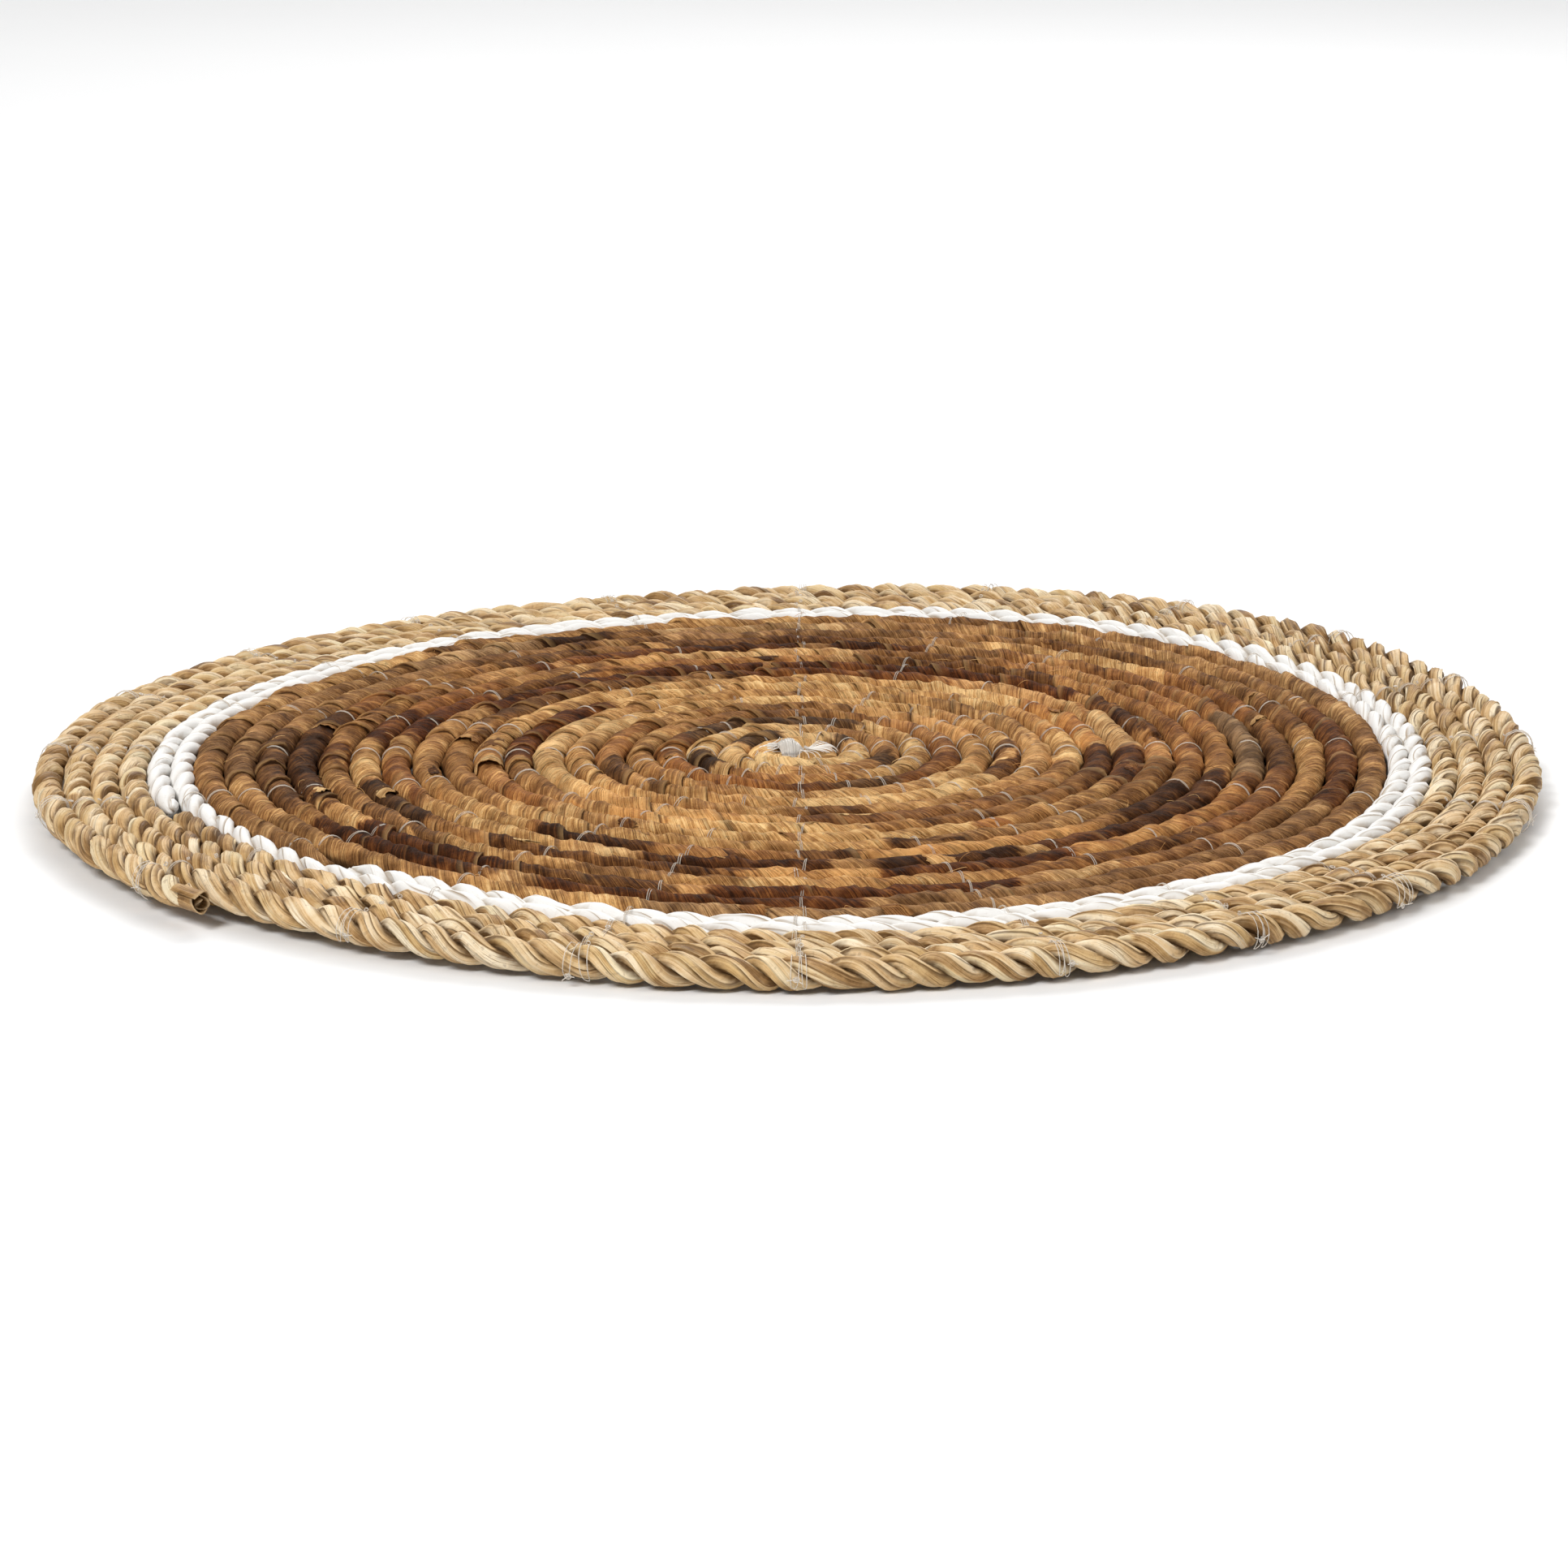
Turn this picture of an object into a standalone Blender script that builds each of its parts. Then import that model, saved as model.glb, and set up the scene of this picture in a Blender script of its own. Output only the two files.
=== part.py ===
"""Round placemat sewn from coiled ropes, in metres with +Z up.

A rope wrapped in banana bark is wound from the middle, a white twisted cord follows it for two turns
and a natural two-ply rope for four. All three lie on one spiral path, each where the last one ends.
"""

import math

import bpy
from mathutils import Vector

PARTS_NAME = "coiled_placemat"
GUIDES_NAME = "rope_sections"

# The path's turns are counted from the end of the bark rope, so turn 0 lies at the join.
JOIN_AZIMUTH = math.radians(225)
JOIN_RADIUS = 0.1510

# First and last turn of each rope on the path.
BARK_TURNS = (-18.75, 0.0)
CORD_TURNS = (0.005, 1.9375)
ROPE_TURNS = (1.9425, 6.0097)

# Width and height of each rope's section.
BARK_SECTION = (0.00743, 0.0078)
CORD_SECTION = (0.0050, 0.0057)
ROPE_SECTION = (0.0065, 0.0076)
CORD_RAISE = 0.0007
FLAT_SHARE = 0.42

# The gap between two turns, and the part of a turn over which a slot's width passes to the next rope's.
TURN_GAP = 0.00035
SWAP_TURN = 1 / 16

# Steps in one turn of each rope, and the turn up to which the small bark coils take fewer.
INNER_STEPS = 16
OUTER_STEPS = 32
ROPE_STEPS = 64
INNER_LAST_TURN = -15.5

# A rope's end thins to this share of its section over this part of a turn, on the tiny first bark
# coil over more of it. The natural rope's cut end stays nearly full and swings out of the rim.
TIP_SHARE = 0.6
END_TAPER = 0.012
BARK_START_TAPER = 0.12
CUT_END_TAPER = 0.003
CUT_END_TURN = 0.03
CUT_END_SWING = 0.0022

# The mat is a little oval, and its rim is lifted at the back right, the front left and the front right.
# Each lift: its azimuth, its height at the rim, and how far from the middle it starts.
OVAL_SHARE = 0.0168
RIM_LIFTS = (
    (math.radians(37), 0.0062, 0.050),
    (math.radians(212), 0.0032, 0.070),
    (math.radians(310), 0.0018, 0.110),
)
LIFT_EDGE = 0.190
LIFT_POWER = 1.6

# The knot of sewing filament in the middle: radius and height of its outline from the base up.
BINDING_OUTLINE = (
    (0.0018, 0.0),
    (0.0024, 0.0010),
    (0.0025, 0.0050),
    (0.0022, 0.0070),
    (0.0012, 0.0082),
    (0.0, 0.0085),
)
BINDING_SIDES = 16
MERGE_DISTANCE = 0.00001
TURN_ROUNDING = 1e-6

FIBRE_ROUGHNESS = 0.75
FILAMENT_ROUGHNESS = 0.35
BARK_COLOUR = (0.30, 0.15, 0.062, 1.0)
CORD_COLOUR = (0.86, 0.83, 0.77, 1.0)
ROPE_COLOUR = (0.56, 0.40, 0.21, 1.0)
BINDING_COLOUR = (0.78, 0.76, 0.72, 1.0)


def clear_scene():
    for old in list(bpy.data.objects):
        bpy.data.objects.remove(old, do_unlink=True)


def new_collection(name):
    collection = bpy.data.collections.new(name)
    bpy.context.scene.collection.children.link(collection)


def material(name, colour, roughness):
    made = bpy.data.materials.new(name)
    made.use_nodes = True
    shader = made.node_tree.nodes["Principled BSDF"]
    shader.inputs["Base Color"].default_value = colour
    shader.inputs["Roughness"].default_value = roughness
    shader.inputs["Metallic"].default_value = 0.0
    return made


def slot_width(turn):
    """Width of the slot that the path leaves for a rope, which passes from one rope's width to the next."""
    narrowing = min(max(turn / SWAP_TURN, 0.0), 1.0)
    widening = min(max((turn - CORD_TURNS[1]) / SWAP_TURN + 1, 0.0), 1.0)
    width = BARK_SECTION[0] + (CORD_SECTION[0] - BARK_SECTION[0]) * narrowing
    return width + (ROPE_SECTION[0] - CORD_SECTION[0]) * widening


def path_radius(turn):
    """Radius of the spiral path before the mat's oval: each turn lies against the one inside it."""
    if turn <= 0:
        return JOIN_RADIUS + (BARK_SECTION[0] + TURN_GAP) * turn
    return path_radius(turn - 1) + (slot_width(turn - 1) + slot_width(turn)) / 2 + TURN_GAP


def rim_lift(x, y):
    """Height of the mat's underside: zero in the middle, rising to the lifted parts of the rim."""
    total = 0.0
    for azimuth, height, start in RIM_LIFTS:
        along = x * math.cos(azimuth) + y * math.sin(azimuth)
        total += height * (max(along - start, 0.0) / (LIFT_EDGE - start)) ** LIFT_POWER
    return total


def path_point(turn, height, swing=0.0):
    azimuth = JOIN_AZIMUTH + math.tau * turn
    radius = path_radius(turn) * (1 + OVAL_SHARE * math.sin(2 * azimuth)) + swing
    x = radius * math.cos(azimuth)
    y = radius * math.sin(azimuth)
    return Vector((x, y, height + rim_lift(x, y)))


def path_turns(first, last, fine_steps):
    """The turns at which a rope has a section: whole steps of the circle, and the rope's two ends."""
    turns = [first]
    while turns[-1] < last:
        steps = INNER_STEPS if turns[-1] < INNER_LAST_TURN else fine_steps
        turns.append((math.floor(turns[-1] * steps + TURN_ROUNDING) + 1) / steps)
    turns[-1] = last
    return turns


def section_guide(name, size, guides):
    """The eight-sided section of a rope, flat on top and below, drawn clockwise as a bevel outline."""
    half_width, half_height = (measure / 2 for measure in size)
    corner_x, corner_y = half_width * FLAT_SHARE, half_height * FLAT_SHARE
    quarter = ((half_width, corner_y), (corner_x, half_height))
    outline = [(x, y) for x, y in quarter]
    outline += [(-x, y) for x, y in reversed(quarter)]
    outline += [(-x, -y) for x, y in quarter]
    outline += [(x, -y) for x, y in reversed(quarter)]
    curve = bpy.data.curves.new(name, "CURVE")
    curve.dimensions = "2D"
    spline = curve.splines.new("POLY")
    spline.points.add(len(outline) - 1)
    for point, (x, y) in zip(spline.points, reversed(outline)):
        point.co = (x, y, 0.0, 1.0)
    spline.use_cyclic_u = True
    guide = bpy.data.objects.new(name, curve)
    guide.hide_render = True
    guide.display_type = "WIRE"
    guides.objects.link(guide)
    return guide


def rope(name, turns, section, colour, raise_by=0.0, tapers=(END_TAPER, END_TAPER), swing=0.0):
    """One rope laid along the path, thinner at both ends, its last stretch swung out by swing."""
    parts = bpy.data.collections[PARTS_NAME]
    guides = bpy.data.collections[GUIDES_NAME]
    first, last = turns[0], turns[-1]
    curve = bpy.data.curves.new(name, "CURVE")
    curve.dimensions = "3D"
    curve.twist_mode = "Z_UP"
    curve.bevel_mode = "OBJECT"
    curve.bevel_object = section_guide(f"{name}_section", section, guides)
    curve.use_fill_caps = True
    spline = curve.splines.new("POLY")
    spline.points.add(len(turns) - 1)
    centre_height = section[1] / 2 + raise_by
    for point, turn in zip(spline.points, turns):
        swung = max(0.0, 1 - (last - turn) / CUT_END_TURN) * swing
        point.co = (*path_point(turn, centre_height, swung), 1.0)
        fullness = min((turn - first) / tapers[0], (last - turn) / tapers[1], 1.0)
        point.radius = TIP_SHARE + (1 - TIP_SHARE) * fullness
    laid = bpy.data.objects.new(name, curve)
    curve.materials.append(material(name, colour, FIBRE_ROUGHNESS))
    parts.objects.link(laid)


def centre_binding():
    """The knot that ties the innermost loop, turned about Z with a flat base on the table."""
    mesh = bpy.data.meshes.new("centre_binding")
    points = [(0.0, 0.0, 0.0)] + [(radius, 0.0, height) for radius, height in BINDING_OUTLINE]
    mesh.from_pydata(points, [(i, i + 1) for i in range(len(points) - 1)], [])
    knot = bpy.data.objects.new("centre_binding", mesh)
    mesh.materials.append(material("centre_binding", BINDING_COLOUR, FILAMENT_ROUGHNESS))
    bpy.data.collections[PARTS_NAME].objects.link(knot)
    turned = knot.modifiers.new("turned", "SCREW")
    turned.steps = BINDING_SIDES
    turned.render_steps = BINDING_SIDES
    turned.use_merge_vertices = True
    turned.merge_threshold = MERGE_DISTANCE
    turned.use_normal_calculate = True


def main():
    clear_scene()
    new_collection(PARTS_NAME)
    new_collection(GUIDES_NAME)
    bark_turns = path_turns(*BARK_TURNS, OUTER_STEPS)
    cord_turns = path_turns(*CORD_TURNS, OUTER_STEPS)
    rope_turns = path_turns(*ROPE_TURNS, ROPE_STEPS)
    bark_tapers = (BARK_START_TAPER, END_TAPER)
    rope_tapers = (END_TAPER, CUT_END_TAPER)
    rope("bark_coil", bark_turns, BARK_SECTION, BARK_COLOUR, tapers=bark_tapers)
    rope("white_cord", cord_turns, CORD_SECTION, CORD_COLOUR, raise_by=CORD_RAISE)
    rope("natural_rope", rope_turns, ROPE_SECTION, ROPE_COLOUR, tapers=rope_tapers, swing=CUT_END_SWING)
    centre_binding()


main()
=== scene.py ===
"""Looks of a round placemat sewn from coiled ropes, laid out as an add-on and run as a script.

The bark strips, the twisted strands, the nylon sewing and the loose fibres all follow the spiral path of
the solids. Lengths are in metres, and a turn is one time round the mat.
"""

import math

import bmesh
import bpy
import numpy as np
from bpy.props import FloatProperty, FloatVectorProperty, IntProperty, PointerProperty
from mathutils import Matrix, Vector


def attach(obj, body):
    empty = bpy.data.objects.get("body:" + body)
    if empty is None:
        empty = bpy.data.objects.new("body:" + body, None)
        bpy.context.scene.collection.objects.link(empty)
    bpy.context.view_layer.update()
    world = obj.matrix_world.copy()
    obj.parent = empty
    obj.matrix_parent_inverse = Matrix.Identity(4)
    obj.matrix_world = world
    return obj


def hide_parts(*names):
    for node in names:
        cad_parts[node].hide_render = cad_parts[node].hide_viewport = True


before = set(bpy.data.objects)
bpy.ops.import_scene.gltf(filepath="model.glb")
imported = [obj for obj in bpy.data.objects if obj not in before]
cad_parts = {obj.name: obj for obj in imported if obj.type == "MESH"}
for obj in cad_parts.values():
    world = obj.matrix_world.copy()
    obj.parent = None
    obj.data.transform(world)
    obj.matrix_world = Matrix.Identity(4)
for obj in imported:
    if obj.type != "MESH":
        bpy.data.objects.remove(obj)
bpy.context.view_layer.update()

bl_info = {
    "name": "Coiled Rope Placemat",
    "version": (1, 0, 0),
    "blender": (4, 5, 0),
    "location": "3D View > Sidebar > Placemat",
    "description": "Models the wrapped coils, twisted ropes and sewing of a round placemat",
    "category": "Object",
}

BODY = "root"

# The spiral path of the solids: turns are counted from the end of the bark rope.
JOIN_AZIMUTH = math.radians(225)
JOIN_RADIUS = 0.1510
BARK_TURNS = (-18.75, 0.0)
CORD_TURNS = (0.005, 1.9375)
ROPE_TURNS = (1.9425, 6.0097)
# Where the strands stop, a little before the solid rope's end, as its cut end is rolled up.
ROPE_SHOWN_END = 6.0035
MOST_OUTER_TURNS = 7
BARK_WIDTH = 0.00743
CORD_WIDTH = 0.0050
ROPE_WIDTH = 0.0065
TURN_GAP = 0.00035
SWAP_TURN = 1 / 16
CUT_END_TURN = 0.03
CUT_END_SWING = 0.0022
OVAL_SHARE = 0.0168
# The lifted parts of the rim: azimuth, height at the rim, and how far from the middle each starts.
RIM_LIFTS = (
    (math.radians(37), 0.0062, 0.050),
    (math.radians(212), 0.0032, 0.070),
    (math.radians(310), 0.0018, 0.110),
)
LIFT_EDGE = 0.190
LIFT_POWER = 1.6

# Middle heights of the three ropes above the table.
BARK_HEIGHT = 0.0039
CORD_HEIGHT = 0.0043
ROPE_HEIGHT = 0.0038

# Steps of the path's table for each turn, and the least radius that a step along it is measured on.
ROUTE_STEPS = 360
LEAST_RADIUS = 0.01

MERGE_DISTANCE = 1e-6
TINY = 1e-12


def slot_width(turn):
    """Width of the slot that the path leaves for a rope, which passes from one rope's width to the next."""
    narrowing = np.clip(turn / SWAP_TURN, 0.0, 1.0)
    widening = np.clip((turn - CORD_TURNS[1]) / SWAP_TURN + 1, 0.0, 1.0)
    return BARK_WIDTH + (CORD_WIDTH - BARK_WIDTH) * narrowing + (ROPE_WIDTH - CORD_WIDTH) * widening


def path_radius(turn):
    """Radius of the spiral path before the mat's oval: each turn lies against the one inside it."""
    inner = np.asarray(turn, float)
    radius = JOIN_RADIUS
    for _ in range(MOST_OUTER_TURNS):
        step = (slot_width(inner - 1) + slot_width(inner)) / 2 + TURN_GAP
        radius = radius + np.where(inner > 0, step, 0.0)
        inner = np.where(inner > 0, inner - 1, inner)
    return radius + (BARK_WIDTH + TURN_GAP) * inner


def rim_lift(x, y):
    """Height of the mat's underside over the table."""
    total = 0.0
    for azimuth, height, start in RIM_LIFTS:
        along = x * math.cos(azimuth) + y * math.sin(azimuth)
        total = total + height * (np.maximum(along - start, 0.0) / (LIFT_EDGE - start)) ** LIFT_POWER
    return total


def place(turn, outward, height):
    """Points beside the path: outward of it in the mat's plane and at a height over its underside."""
    azimuth = JOIN_AZIMUTH + math.tau * turn
    near_cut = np.clip(1 - (ROPE_TURNS[1] - turn) / CUT_END_TURN, 0.0, None)
    radius = path_radius(turn) * (1 + OVAL_SHARE * np.sin(2 * azimuth)) + outward
    radius = radius + near_cut * CUT_END_SWING
    x = radius * np.cos(azimuth)
    y = radius * np.sin(azimuth)
    return np.stack((x, y, np.maximum(height, 0.0) + rim_lift(x, y)), axis=-1)


def past(turn, along):
    """The turn that lies a length further along the path."""
    return turn + along / (math.tau * max(float(path_radius(turn)), LEAST_RADIUS))


def turn_share(azimuth):
    """The part of a turn after which the path passes an azimuth in degrees."""
    return ((math.radians(azimuth) - JOIN_AZIMUTH) / math.tau) % 1.0


def turn_near(azimuth, radius):
    """The turn of the path that passes an azimuth in degrees nearest to a radius."""
    turns = turn_share(azimuth) + np.arange(-19, 6)
    oval = 1 + OVAL_SHARE * math.sin(2 * math.radians(azimuth))
    return float(turns[np.argmin(np.abs(path_radius(turns) * oval - radius))])


class Route:
    """A rope's stretch of the path, with the length along it for every turn."""

    def __init__(self, first, last):
        self.turns = np.linspace(first, last, int((last - first) * ROUTE_STEPS) + 2)
        steps = np.diff(place(self.turns, 0.0, 0.0)[:, :2], axis=0)
        self.lengths = np.concatenate(([0.0], np.cumsum(np.hypot(*steps.T))))
        self.length = self.lengths[-1]

    def turn_at(self, along):
        return np.interp(along, self.lengths, self.turns)

    def length_at(self, turn):
        return np.interp(turn, self.turns, self.lengths)


BARK_ROUTE = Route(*BARK_TURNS)
CORD_ROUTE = Route(*CORD_TURNS)
ROPE_ROUTE = Route(ROPE_TURNS[0], ROPE_SHOWN_END)


def ripple(values, seed, waves=6, longest=1.0, shortest=0.2):
    """A smooth uneven line between about -1 and 1, the same on each run."""
    draw = np.random.default_rng(seed)
    total = 0.0
    for length in np.geomspace(longest, shortest, waves):
        total = total + np.sin(values * math.tau / (length * draw.uniform(0.8, 1.2)) + draw.uniform(0, 9))
    return total / math.sqrt(waves)


def ease(value):
    """Goes smoothly from 0 to 1 and stays there."""
    value = np.clip(value, 0.0, 1.0)
    return value * value * (3 - 2 * value)


def stacked(*values):
    """One array whose last axis holds the values, each spread to the shape of them all."""
    return np.stack(np.broadcast_arrays(*values), axis=-1)


def single(values):
    """The numbers of an array in a row and in single precision, as a mesh takes them."""
    return values.astype(np.float32).ravel()


def unit(vectors):
    return vectors / (np.linalg.norm(vectors, axis=2, keepdims=True) + TINY)


def show(mesh, material, replaced=()):
    """Puts a finished mesh in the scene, riding on the mat's body."""
    mesh.materials.append(material)
    mesh.shade_smooth()
    piece = bpy.data.objects.new(mesh.name, mesh)
    bpy.context.scene.collection.objects.link(piece)
    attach(piece, BODY)
    for name in replaced:
        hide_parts(name)


def bent_grid(name, points, strip, fibre=None, painted_shading=None, cut_rows=(), thickness=0.0):
    """A grid whose vertex in row i and column j lies at points[i, j], with its equal points merged.

    strip is a vector for each point, fibre the grid's UV map in metres and painted_shading a value for each
    point: painted shade where positive and a painted highlight where negative.
    cut_rows are the rows of faces left out between two tubes, and thickness makes the grid a sheet.
    """
    rows, columns = points.shape[:2]
    shape = bmesh.new()
    bmesh.ops.create_grid(shape, x_segments=columns - 1, y_segments=rows - 1, size=1.0)
    mesh = bpy.data.meshes.new(name)
    shape.to_mesh(mesh)
    mesh.vertices.foreach_set("co", single(points))
    if fibre is not None:
        corners = np.empty(len(mesh.loops), np.int32)
        mesh.loops.foreach_get("vertex_index", corners)
        layer = mesh.uv_layers.new(name="fibre")
        layer.data.foreach_set("uv", single(fibre.reshape(-1, 2)[corners]))
    layer = mesh.attributes.new("strip", "FLOAT_VECTOR", "POINT")
    layer.data.foreach_set("vector", single(strip))
    if painted_shading is not None:
        layer = mesh.attributes.new("painted_shading", "FLOAT", "POINT")
        layer.data.foreach_set("value", single(painted_shading))
    shape.clear()
    shape.from_mesh(mesh)
    if len(cut_rows):
        shape.faces.ensure_lookup_table()
        unwanted = [shape.faces[row * (columns - 1) + j] for row in cut_rows for j in range(columns - 1)]
        bmesh.ops.delete(shape, geom=unwanted, context="FACES")
    bmesh.ops.remove_doubles(shape, verts=shape.verts, dist=MERGE_DISTANCE)
    if thickness:
        bmesh.ops.solidify(shape, geom=shape.faces[:], thickness=thickness)
    bmesh.ops.recalc_face_normals(shape, faces=shape.faces)
    shape.to_mesh(mesh)
    shape.free()
    return mesh


def joined(name, meshes):
    """One mesh of many small ones, which are removed."""
    whole = bmesh.new()
    for mesh in meshes:
        whole.from_mesh(mesh)
    result = meshes[0].copy()
    result.name = name
    whole.to_mesh(result)
    whole.free()
    for mesh in meshes:
        bpy.data.meshes.remove(mesh)
    return result


def tubes(name, tracks, radius, strip, sides=4):
    """Filaments along tracks[filament, point], pointed at both ends, joined in one mesh.

    strip is a vector for each filament.
    """
    count, points = tracks.shape[:2]
    tangents = unit(np.gradient(tracks, axis=1))
    helper = np.where(np.abs(tangents[..., 2:]) > 0.9, (1.0, 0.0, 0.0), (0.0, 0.0, 1.0))
    side = unit(np.cross(tangents, helper))
    other = np.cross(side, tangents)
    thickness = np.full((count, points), radius)
    thickness[:, 0] = thickness[:, -1] = 0.0
    angles = np.arange(sides + 1) % sides * math.tau / sides
    ring = side[:, :, None] * np.cos(angles)[:, None] + other[:, :, None] * np.sin(angles)[:, None]
    grid = (tracks[:, :, None] + ring * thickness[:, :, None, None]).reshape(count * points, sides + 1, 3)
    values = np.repeat(np.repeat(strip, points, axis=0)[:, None], sides + 1, axis=1)
    return bent_grid(name, grid, values, cut_rows=np.arange(1, count) * points - 1)


def node(tree, kind, inputs=None, **settings):
    """Adds a shader node, with its settings, and its inputs set or linked."""
    made = tree.nodes.new("ShaderNode" + kind)
    for name, value in settings.items():
        setattr(made, name, value)
    for name, value in (inputs or {}).items():
        if isinstance(value, bpy.types.NodeSocket):
            tree.links.new(value, made.inputs[name])
        else:
            made.inputs[name].default_value = value
    return made


def maths(tree, operation, first, second=0.0, third=0.0):
    return node(tree, "Math", {0: first, 1: second, 2: third}, operation=operation).outputs[0]


def spread(tree, value, low, high, from_low=0.0, from_high=1.0):
    """Maps a value from one range to another, held inside the new one."""
    inputs = {"Value": value, "From Min": from_low, "From Max": from_high, "To Min": low, "To Max": high}
    return node(tree, "MapRange", inputs).outputs["Result"]


def mixed(tree, share, first, second, blend="MIX"):
    made = node(tree, "Mix", {0: share, 6: first, 7: second}, data_type="RGBA", blend_type=blend)
    return made.outputs[2]


def noise(tree, spot, scale, detail=2.0, roughness=0.5, output="Fac"):
    inputs = {"Vector": spot, "Scale": scale, "Detail": detail, "Roughness": roughness}
    return node(tree, "TexNoise", inputs).outputs[output]


def ramp(tree, value, stops):
    made = node(tree, "ValToRGB", {"Fac": value})
    elements = made.color_ramp.elements
    while len(elements) < len(stops):
        elements.new(0.5)
    for element, (position, colour) in zip(elements, stops):
        element.position = position
        element.color = (*colour, 1.0)
    return made.outputs["Color"]


def new_group(name, inputs, outputs):
    """A shader node group with the named sockets, and what its inputs give."""
    group = bpy.data.node_groups.new(name, "ShaderNodeTree")
    for socket, kind in inputs.items():
        group.interface.new_socket(socket, in_out="INPUT", socket_type=kind)
    for socket in outputs:
        group.interface.new_socket(socket, in_out="OUTPUT", socket_type="NodeSocketFloat")
    return group, group.nodes.new("NodeGroupInput").outputs


def put_out(group, values):
    """Links each value to the group's output of that name."""
    result = group.nodes.new("NodeGroupOutput")
    for socket, value in values.items():
        group.links.new(value, result.inputs[socket])
    return group


def fibre_group():
    """Streaks along the fibres: a value, a mask of thin dark cracks, long marks, and a height.

    The fibres sway a little and some places are smoother than others.
    """
    if "plant_fibres" in bpy.data.node_groups:
        return bpy.data.node_groups["plant_fibres"]
    vector, number = "NodeSocketVector", "NodeSocketFloat"
    group, given = new_group(
        "plant_fibres",
        {"Fibre": vector, "Place": vector, "Along": number, "Across": number},
        ("Streak", "Cracks", "Marks", "Height"),
    )
    sway = noise(group, given["Place"], 110.0, output="Color")
    swayed = node(
        group, "VectorMath", {0: sway, 1: (0.0012, 0.0012, 0.0), 2: given["Fibre"]},
        operation="MULTIPLY_ADD",
    ).outputs[0]
    scale = node(group, "CombineXYZ", {0: given["Along"], 1: given["Across"], 2: 1.0}).outputs[0]
    stretched = node(group, "VectorMath", {0: swayed, 1: scale}, operation="MULTIPLY").outputs[0]
    coarse = noise(group, stretched, 0.30, 3.0, 0.62)
    fine = noise(group, stretched, 1.0, 3.0, 0.75)
    marks = noise(group, stretched, 0.11, 5.0, 0.7)
    smooth = spread(group, noise(group, given["Place"], 70.0, 3.0), 0.25, 1.0, 0.38, 0.58)
    both = maths(group, "MULTIPLY_ADD", fine, 0.5, maths(group, "MULTIPLY", coarse, 0.5))
    return put_out(group, {
        "Streak": spread(group, both, 0.0, 1.0, 0.38, 0.62),
        "Cracks": maths(group, "MULTIPLY", spread(group, fine, 1.0, 0.0, 0.37, 0.43), smooth),
        "Marks": spread(group, marks, 0.0, 1.0, 0.54, 0.62),
        "Height": maths(group, "MULTIPLY_ADD", maths(group, "MULTIPLY", fine, smooth), 0.8, coarse),
    })


def stain_group():
    """Soft stains over a surface: broad ones, and small specks."""
    if "plant_stains" in bpy.data.node_groups:
        return bpy.data.node_groups["plant_stains"]
    inputs = {"Place": "NodeSocketVector", "Scale": "NodeSocketFloat"}
    group, given = new_group("plant_stains", inputs, ("Broad", "Specks"))
    broad = noise(group, given["Place"], given["Scale"], 6.0, 0.7)
    specks = noise(group, given["Place"], maths(group, "MULTIPLY", given["Scale"], 8.0))
    return put_out(group, {
        "Broad": spread(group, broad, 0.0, 1.0, 0.32, 0.68),
        "Specks": spread(group, specks, 0.0, 1.0, 0.60, 0.70),
    })


def new_material(name, roughness, specular=0.5):
    material = bpy.data.materials.new(name)
    material.use_nodes = True
    tree = material.node_tree
    shader = tree.nodes["Principled BSDF"]
    shader.inputs["Roughness"].default_value = roughness
    shader.inputs["Specular IOR Level"].default_value = specular
    return material, tree, shader


def object_place(tree):
    return node(tree, "TexCoord").outputs["Object"]


def strip_values(tree):
    """The three numbers that each point of a piece carries, such as its tone."""
    strip = node(tree, "Attribute", attribute_name="strip")
    return node(tree, "SeparateXYZ", {0: strip.outputs["Vector"]}).outputs


def surface_inputs(tree, along, across, stain_scale):
    """The fibre streaks, stains, strip values and the painted shade and highlight that a plant material
    reads.
    """
    fibre = node(tree, "UVMap", uv_map="fibre").outputs["UV"]
    spot = object_place(tree)
    fibres = {"Fibre": fibre, "Place": spot, "Along": along, "Across": across}
    streaks = node(tree, "Group", fibres, node_tree=fibre_group())
    stains = node(tree, "Group", {"Place": spot, "Scale": stain_scale}, node_tree=stain_group())
    painted_shading = node(tree, "Attribute", attribute_name="painted_shading").outputs["Fac"]
    return streaks.outputs, stains.outputs, strip_values(tree), painted_shading


def uneven_tone(tree, tone, streaks, streak_range, stains, stain_range):
    """A strip's tone, made uneven by the streaks along it and by broad stains."""
    tone = maths(tree, "ADD", tone, spread(tree, streaks["Streak"], *streak_range))
    return maths(tree, "ADD", tone, spread(tree, stains["Broad"], *stain_range))


def covered(tree, colour, covers):
    """Lays other colours over one, each where its mask says and at most to its share."""
    for mask, share, cover in covers:
        colour = mixed(tree, maths(tree, "MULTIPLY", mask, share), colour, (*cover, 1.0))
    return colour


# How much of the painted highlight's colour an edge takes at its fullest.
EDGE_HIGHLIGHT = 0.8


def painted_shade_and_highlight(tree, painted_shading, colour, dark, pale, depth):
    """Darkens the foot of a fold with painted shade where painted_shading is positive, and paints a
    highlight on an edge where it is negative.
    """
    # dark is the painted shade's colour, pale the painted highlight's colour, and depth how far the painted
    # shade goes.
    fold = maths(tree, "MAXIMUM", painted_shading, 0.0)
    edge = maths(tree, "MAXIMUM", maths(tree, "MULTIPLY", painted_shading, -1.0), 0.0)
    return covered(tree, colour, ((fold, depth, dark), (edge, EDGE_HIGHLIGHT, pale)))


def finish_surface(tree, shader, inputs, height, strength, depth):
    """Links values to a shader's inputs and adds a bump of a depth in metres."""
    bump = node(tree, "Bump", {"Strength": strength, "Distance": depth, "Height": height})
    for name, value in (*inputs.items(), ("Normal", bump.outputs["Normal"])):
        tree.links.new(value, shader.inputs[name])


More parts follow.
